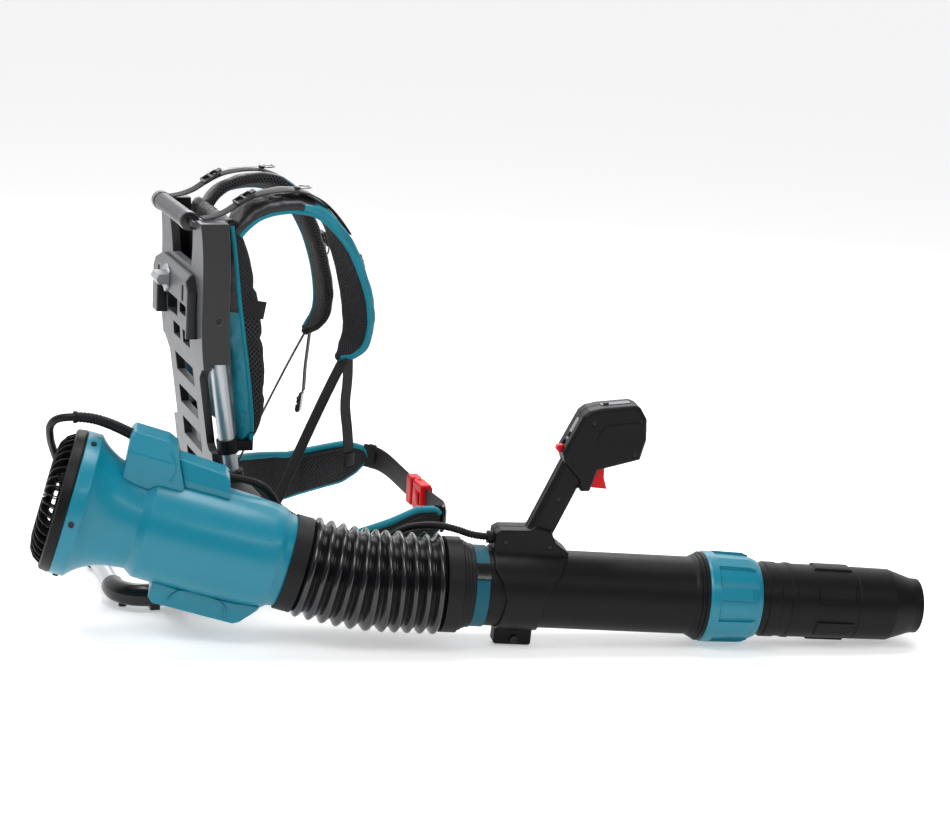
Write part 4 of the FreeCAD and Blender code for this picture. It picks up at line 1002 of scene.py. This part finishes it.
def ladder_lock(place, width=34.0, length=28.0):
    """Three-bar buckle: two rails, three rungs and a lift tab."""
    end = length / 2
    rails = [rounded_bar(place @ Matrix.Translation((0, s * (width / 2 - 1.8), 0)), (length, 3.6, 5))
             for s in (-1, 1)]
    rungs = [rounded_bar(place @ Matrix.Translation((x, 0, z)), (4.4, width - 2, 4))
             for x, z in ((2 - end, 0), (0, 1.5), (end - 2, 0))]
    tab = rounded_bar(place @ Matrix.Translation((end + 1, 0, 2.2)), (8, width * 0.55, 2.6))
    return rails + rungs + [tab]


def along_frame(origin, way, across):
    """Placement with X along a way and Y across it."""
    x = way.normalized()
    z = x.cross(across).normalized()
    y = z.cross(x)
    turn = Matrix((x, y, z)).transposed().to_4x4()
    return Matrix.Translation(origin) @ turn


def build_grip_caps():
    """Black caps that close the carrying grip at both ends."""
    profile = [(0, 13.1), (0.6, 13.9), (14, 13.9), (16.4, 13.4), (17.2, 11), (17.4, 5), (17.4, 4.1),
               (2, 4.1)]
    caps = []
    for side in (-1, 1):
        turn = Matrix.Rotation(side * math.pi / 2, 4, "Z")
        place = Matrix.Translation(carrier(44, side * 78, 566)) @ turn
        caps.append(loft(turned_rings(place, profile + [profile[0]], 40), False))
    plain_piece("grip_caps", caps, "black_gloss")


def build_pockets():
    """Mesh pocket sewn on each belt wing: a shallow bulge with a bound mouth."""
    pockets, bindings = [], []
    plan = belt_plan()
    passed = lengths(plan)
    for side in (-1, 1):
        rows, mouth = [], []
        for i in range(17):
            share = i / 16
            distance = 40 + 74 * share if side > 0 else passed[-1] - 40 - 74 * share
            point, way = at_length(plan, passed, distance)
            outward = Vector((way.y, -way.x, 0))
            low = values(BELT_LOW[side], point.x) + 9
            high = values(BELT_HIGH[side], point.x) - 8
            column = []
            for k in range(9):
                rise = k / 8
                fullness = math.sin(math.pi * share) * math.sin(math.pi * min(1.0, 0.08 + 0.8 * rise))
                out = POCKET_SWELL * fullness ** 0.7 + 0.4
                spot = point - outward * out + Vector((0, 0, low + (high - low) * rise))
                column.append(spot - ORIGIN)
            back = [p + outward * 2.3 for p in reversed(column)]
            rows.append(column + back)
            mouth.append(column[-1])
        pockets.append(loft(rows))
        bindings.append(loft(tube_rings(mouth, 0, lengths(mouth)[-1], lambda share: 1.8, 40, 8)))
    make_piece("belt_pockets", pockets, "carrier", [MESH_FABRIC])
    plain_piece("belt_pocket_bindings", bindings, "webbing")


def build_hardware():
    """Ladder locks, ring keepers and the clip on the far loose tail."""
    parts = []
    for side in (-1, 1):
        lifter = along_frame(carrier(120, side * 98, 599.5), Vector((0.85, 0, 0.52)), Vector((0, 1, 0)))
        parts += ladder_lock(lifter)
        lower = along_frame(carrier(299, side * 89, 508), Vector((0.32, 0, -0.95)), Vector((0, 1, 0)))
        parts += ladder_lock(lower, 26, 22)
        crest = along_frame(carrier(198, side * 98, 615), Vector((1, 0, 0)), Vector((0, 1, 0)))
        parts.append(rounded_bar(crest, (8, 12, 5)))
        tip = along_frame(carrier(421, side * 172, 134), Vector((0.5, -side * 0.86, 0)), Vector((0, 0, 1)))
        parts += ladder_lock(tip, 40, 15)
    far = along_frame(carrier(278, 112, 245), Vector((0.1, 0, 1)), Vector((0.5, 1, 0)))
    parts.append(rounded_bar(far, (30, 25, 5), 1.6))
    for s in (-1, 1):
        parts.append(rounded_bar(far @ Matrix.Translation((-9, s * 9, 3)), (12, 5, 5), 1.5))
    parts.append(rounded_bar(far @ Matrix.Translation((6, 0, 4)), (4, 20, 4), 1.5))
    for turn in range(5):
        prong = far @ Matrix.Translation((-2, 0, 2)) @ Matrix.Rotation(math.radians(72 * turn), 4, "Z")
        parts.append(rounded_bar(prong @ Matrix.Translation((9, 0, 0)), (15, 7, 4), 1.4))
    hardware = make_piece("harness_hardware", parts, "carrier",
                          [MATERIALS["black_gloss"]], sharp=40)
    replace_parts(hardware, "strap_hardware")


def build_buckle_relief():
    """Raised centre, release arms and webbing bars on the red belt buckle."""
    low, high = (Vector(corner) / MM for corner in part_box("buckle_socket"))
    latch_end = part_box("buckle_latch")[1][1] / MM
    face, middle = high.x, (low.z + high.z) / 2
    turn = Matrix.Rotation(math.pi / 2, 4, "Z")
    parts = []
    for x in (low.x, face):
        centre = Matrix.Translation((x, (low.y + high.y) / 2, middle)) @ turn
        parts.append(rounded_bar(centre, (24, 3.2, 22), 1.4))
    for z in (low.z + 2.5, high.z - 2.5):
        arm = Matrix.Translation(((low.x + face) / 2, high.y - 3, z)) @ turn
        parts.append(rounded_bar(arm, (19, 11, 8), 3.0))
    for y in (low.y + 3.5, latch_end - 3.5):
        bar = Matrix.Translation((face, y, middle)) @ turn
        parts.append(rounded_bar(bar, (4.5, 3.6, 38), 1.5))
    plain_piece("buckle_relief", parts, "red_plastic")


def raised_panel(place, outline, base, height, inset=2.0):
    """A low plateau on a side wall. Its outline is (x, z), base is the wall's y, height its rise."""
    points = [Vector((x, 0, z)) for x, z in outline]
    middle = sum(points, Vector()) / len(points)
    closed = smooth_line(points + [points[0]])
    rings = []
    for inward, out in ((-0.2, -0.6), (0.0, 0.5), (0.35, 0.85), (1.0, 1.0), (1.8, 1.0), (6.0, 0.8)):
        ring = []
        for point in closed[:-1]:
            spot = point - (point - middle).normalized() * inward * inset
            ring.append(place @ Vector((spot.x, base + height * out, spot.z)))
        rings.append(ring)
    return loft(rings)


def rib(place, points, radius):
    """A raised line that fades at both ends."""
    line = smooth_line([place @ Vector(p) for p in points])
    rings = tube_rings(line, 0, lengths(line)[-1],
                       lambda share: radius * min(1.0, 0.3 + 40 * share * (1 - share)), 60, 10)
    return loft(rings)


def build_relief():
    """Moulded relief on the control head, the handle and the covers."""
    head = [(92, 226), (92, 231), (99, 247), (103, 251), (150, 258), (154, 255), (156, 230), (152, 225),
            (116, 219), (112, 215), (104, 213)]
    panels = [raised_panel(TUBE, head, side * 24, side * 1.4) for side in (-1, 1)]
    plain_piece("handle_relief", panels, "black_plastic", "duct_tube")
    frame_line = [(166, -40.3, -90), (172, -40.6, -72), (182, -40.6, -67), (228, -40.6, -67),
                  (242, -40.6, -71), (247, -40.3, -82), (248, -39.2, -92)]
    ribs = [rib(HOUSING, [(x, side * -y, z) for x, y, z in frame_line], 1.3) for side in (-1, 1)]
    edge = [(121, -39.4, 76), (126, -39.4, 84), (124, -38.6, 104), (112, -33, 116)]
    ribs += [rib(HOUSING, [(x, side * -y, z) for x, y, z in edge], 1.1) for side in (-1, 1)]
    plain_piece("cover_relief", ribs, "teal_plastic")


build_camera()
build_studio()
paint_cad()
build_cable()
build_conduit()
build_bellows()
build_shell()
build_relief()
soften_cad(0.0011, 5, "handle_shell_right", "handle_shell_left")
soften_cad(0.0012, 5, "controller_cover", "cable_cover", "belly_cover", "battery_mount")
soften_cad(0.0008, 4, "buckle_socket", "buckle_latch")
for strap_side, strap_node in ((-1, "shoulder_strap_right"), (1, "shoulder_strap_left")):
    build_strap(strap_side, strap_node)
build_back_pad()
build_belt()
build_webbing()
build_hardware()
build_buckle_relief()
build_stitching()
build_grip_caps()
build_pockets()
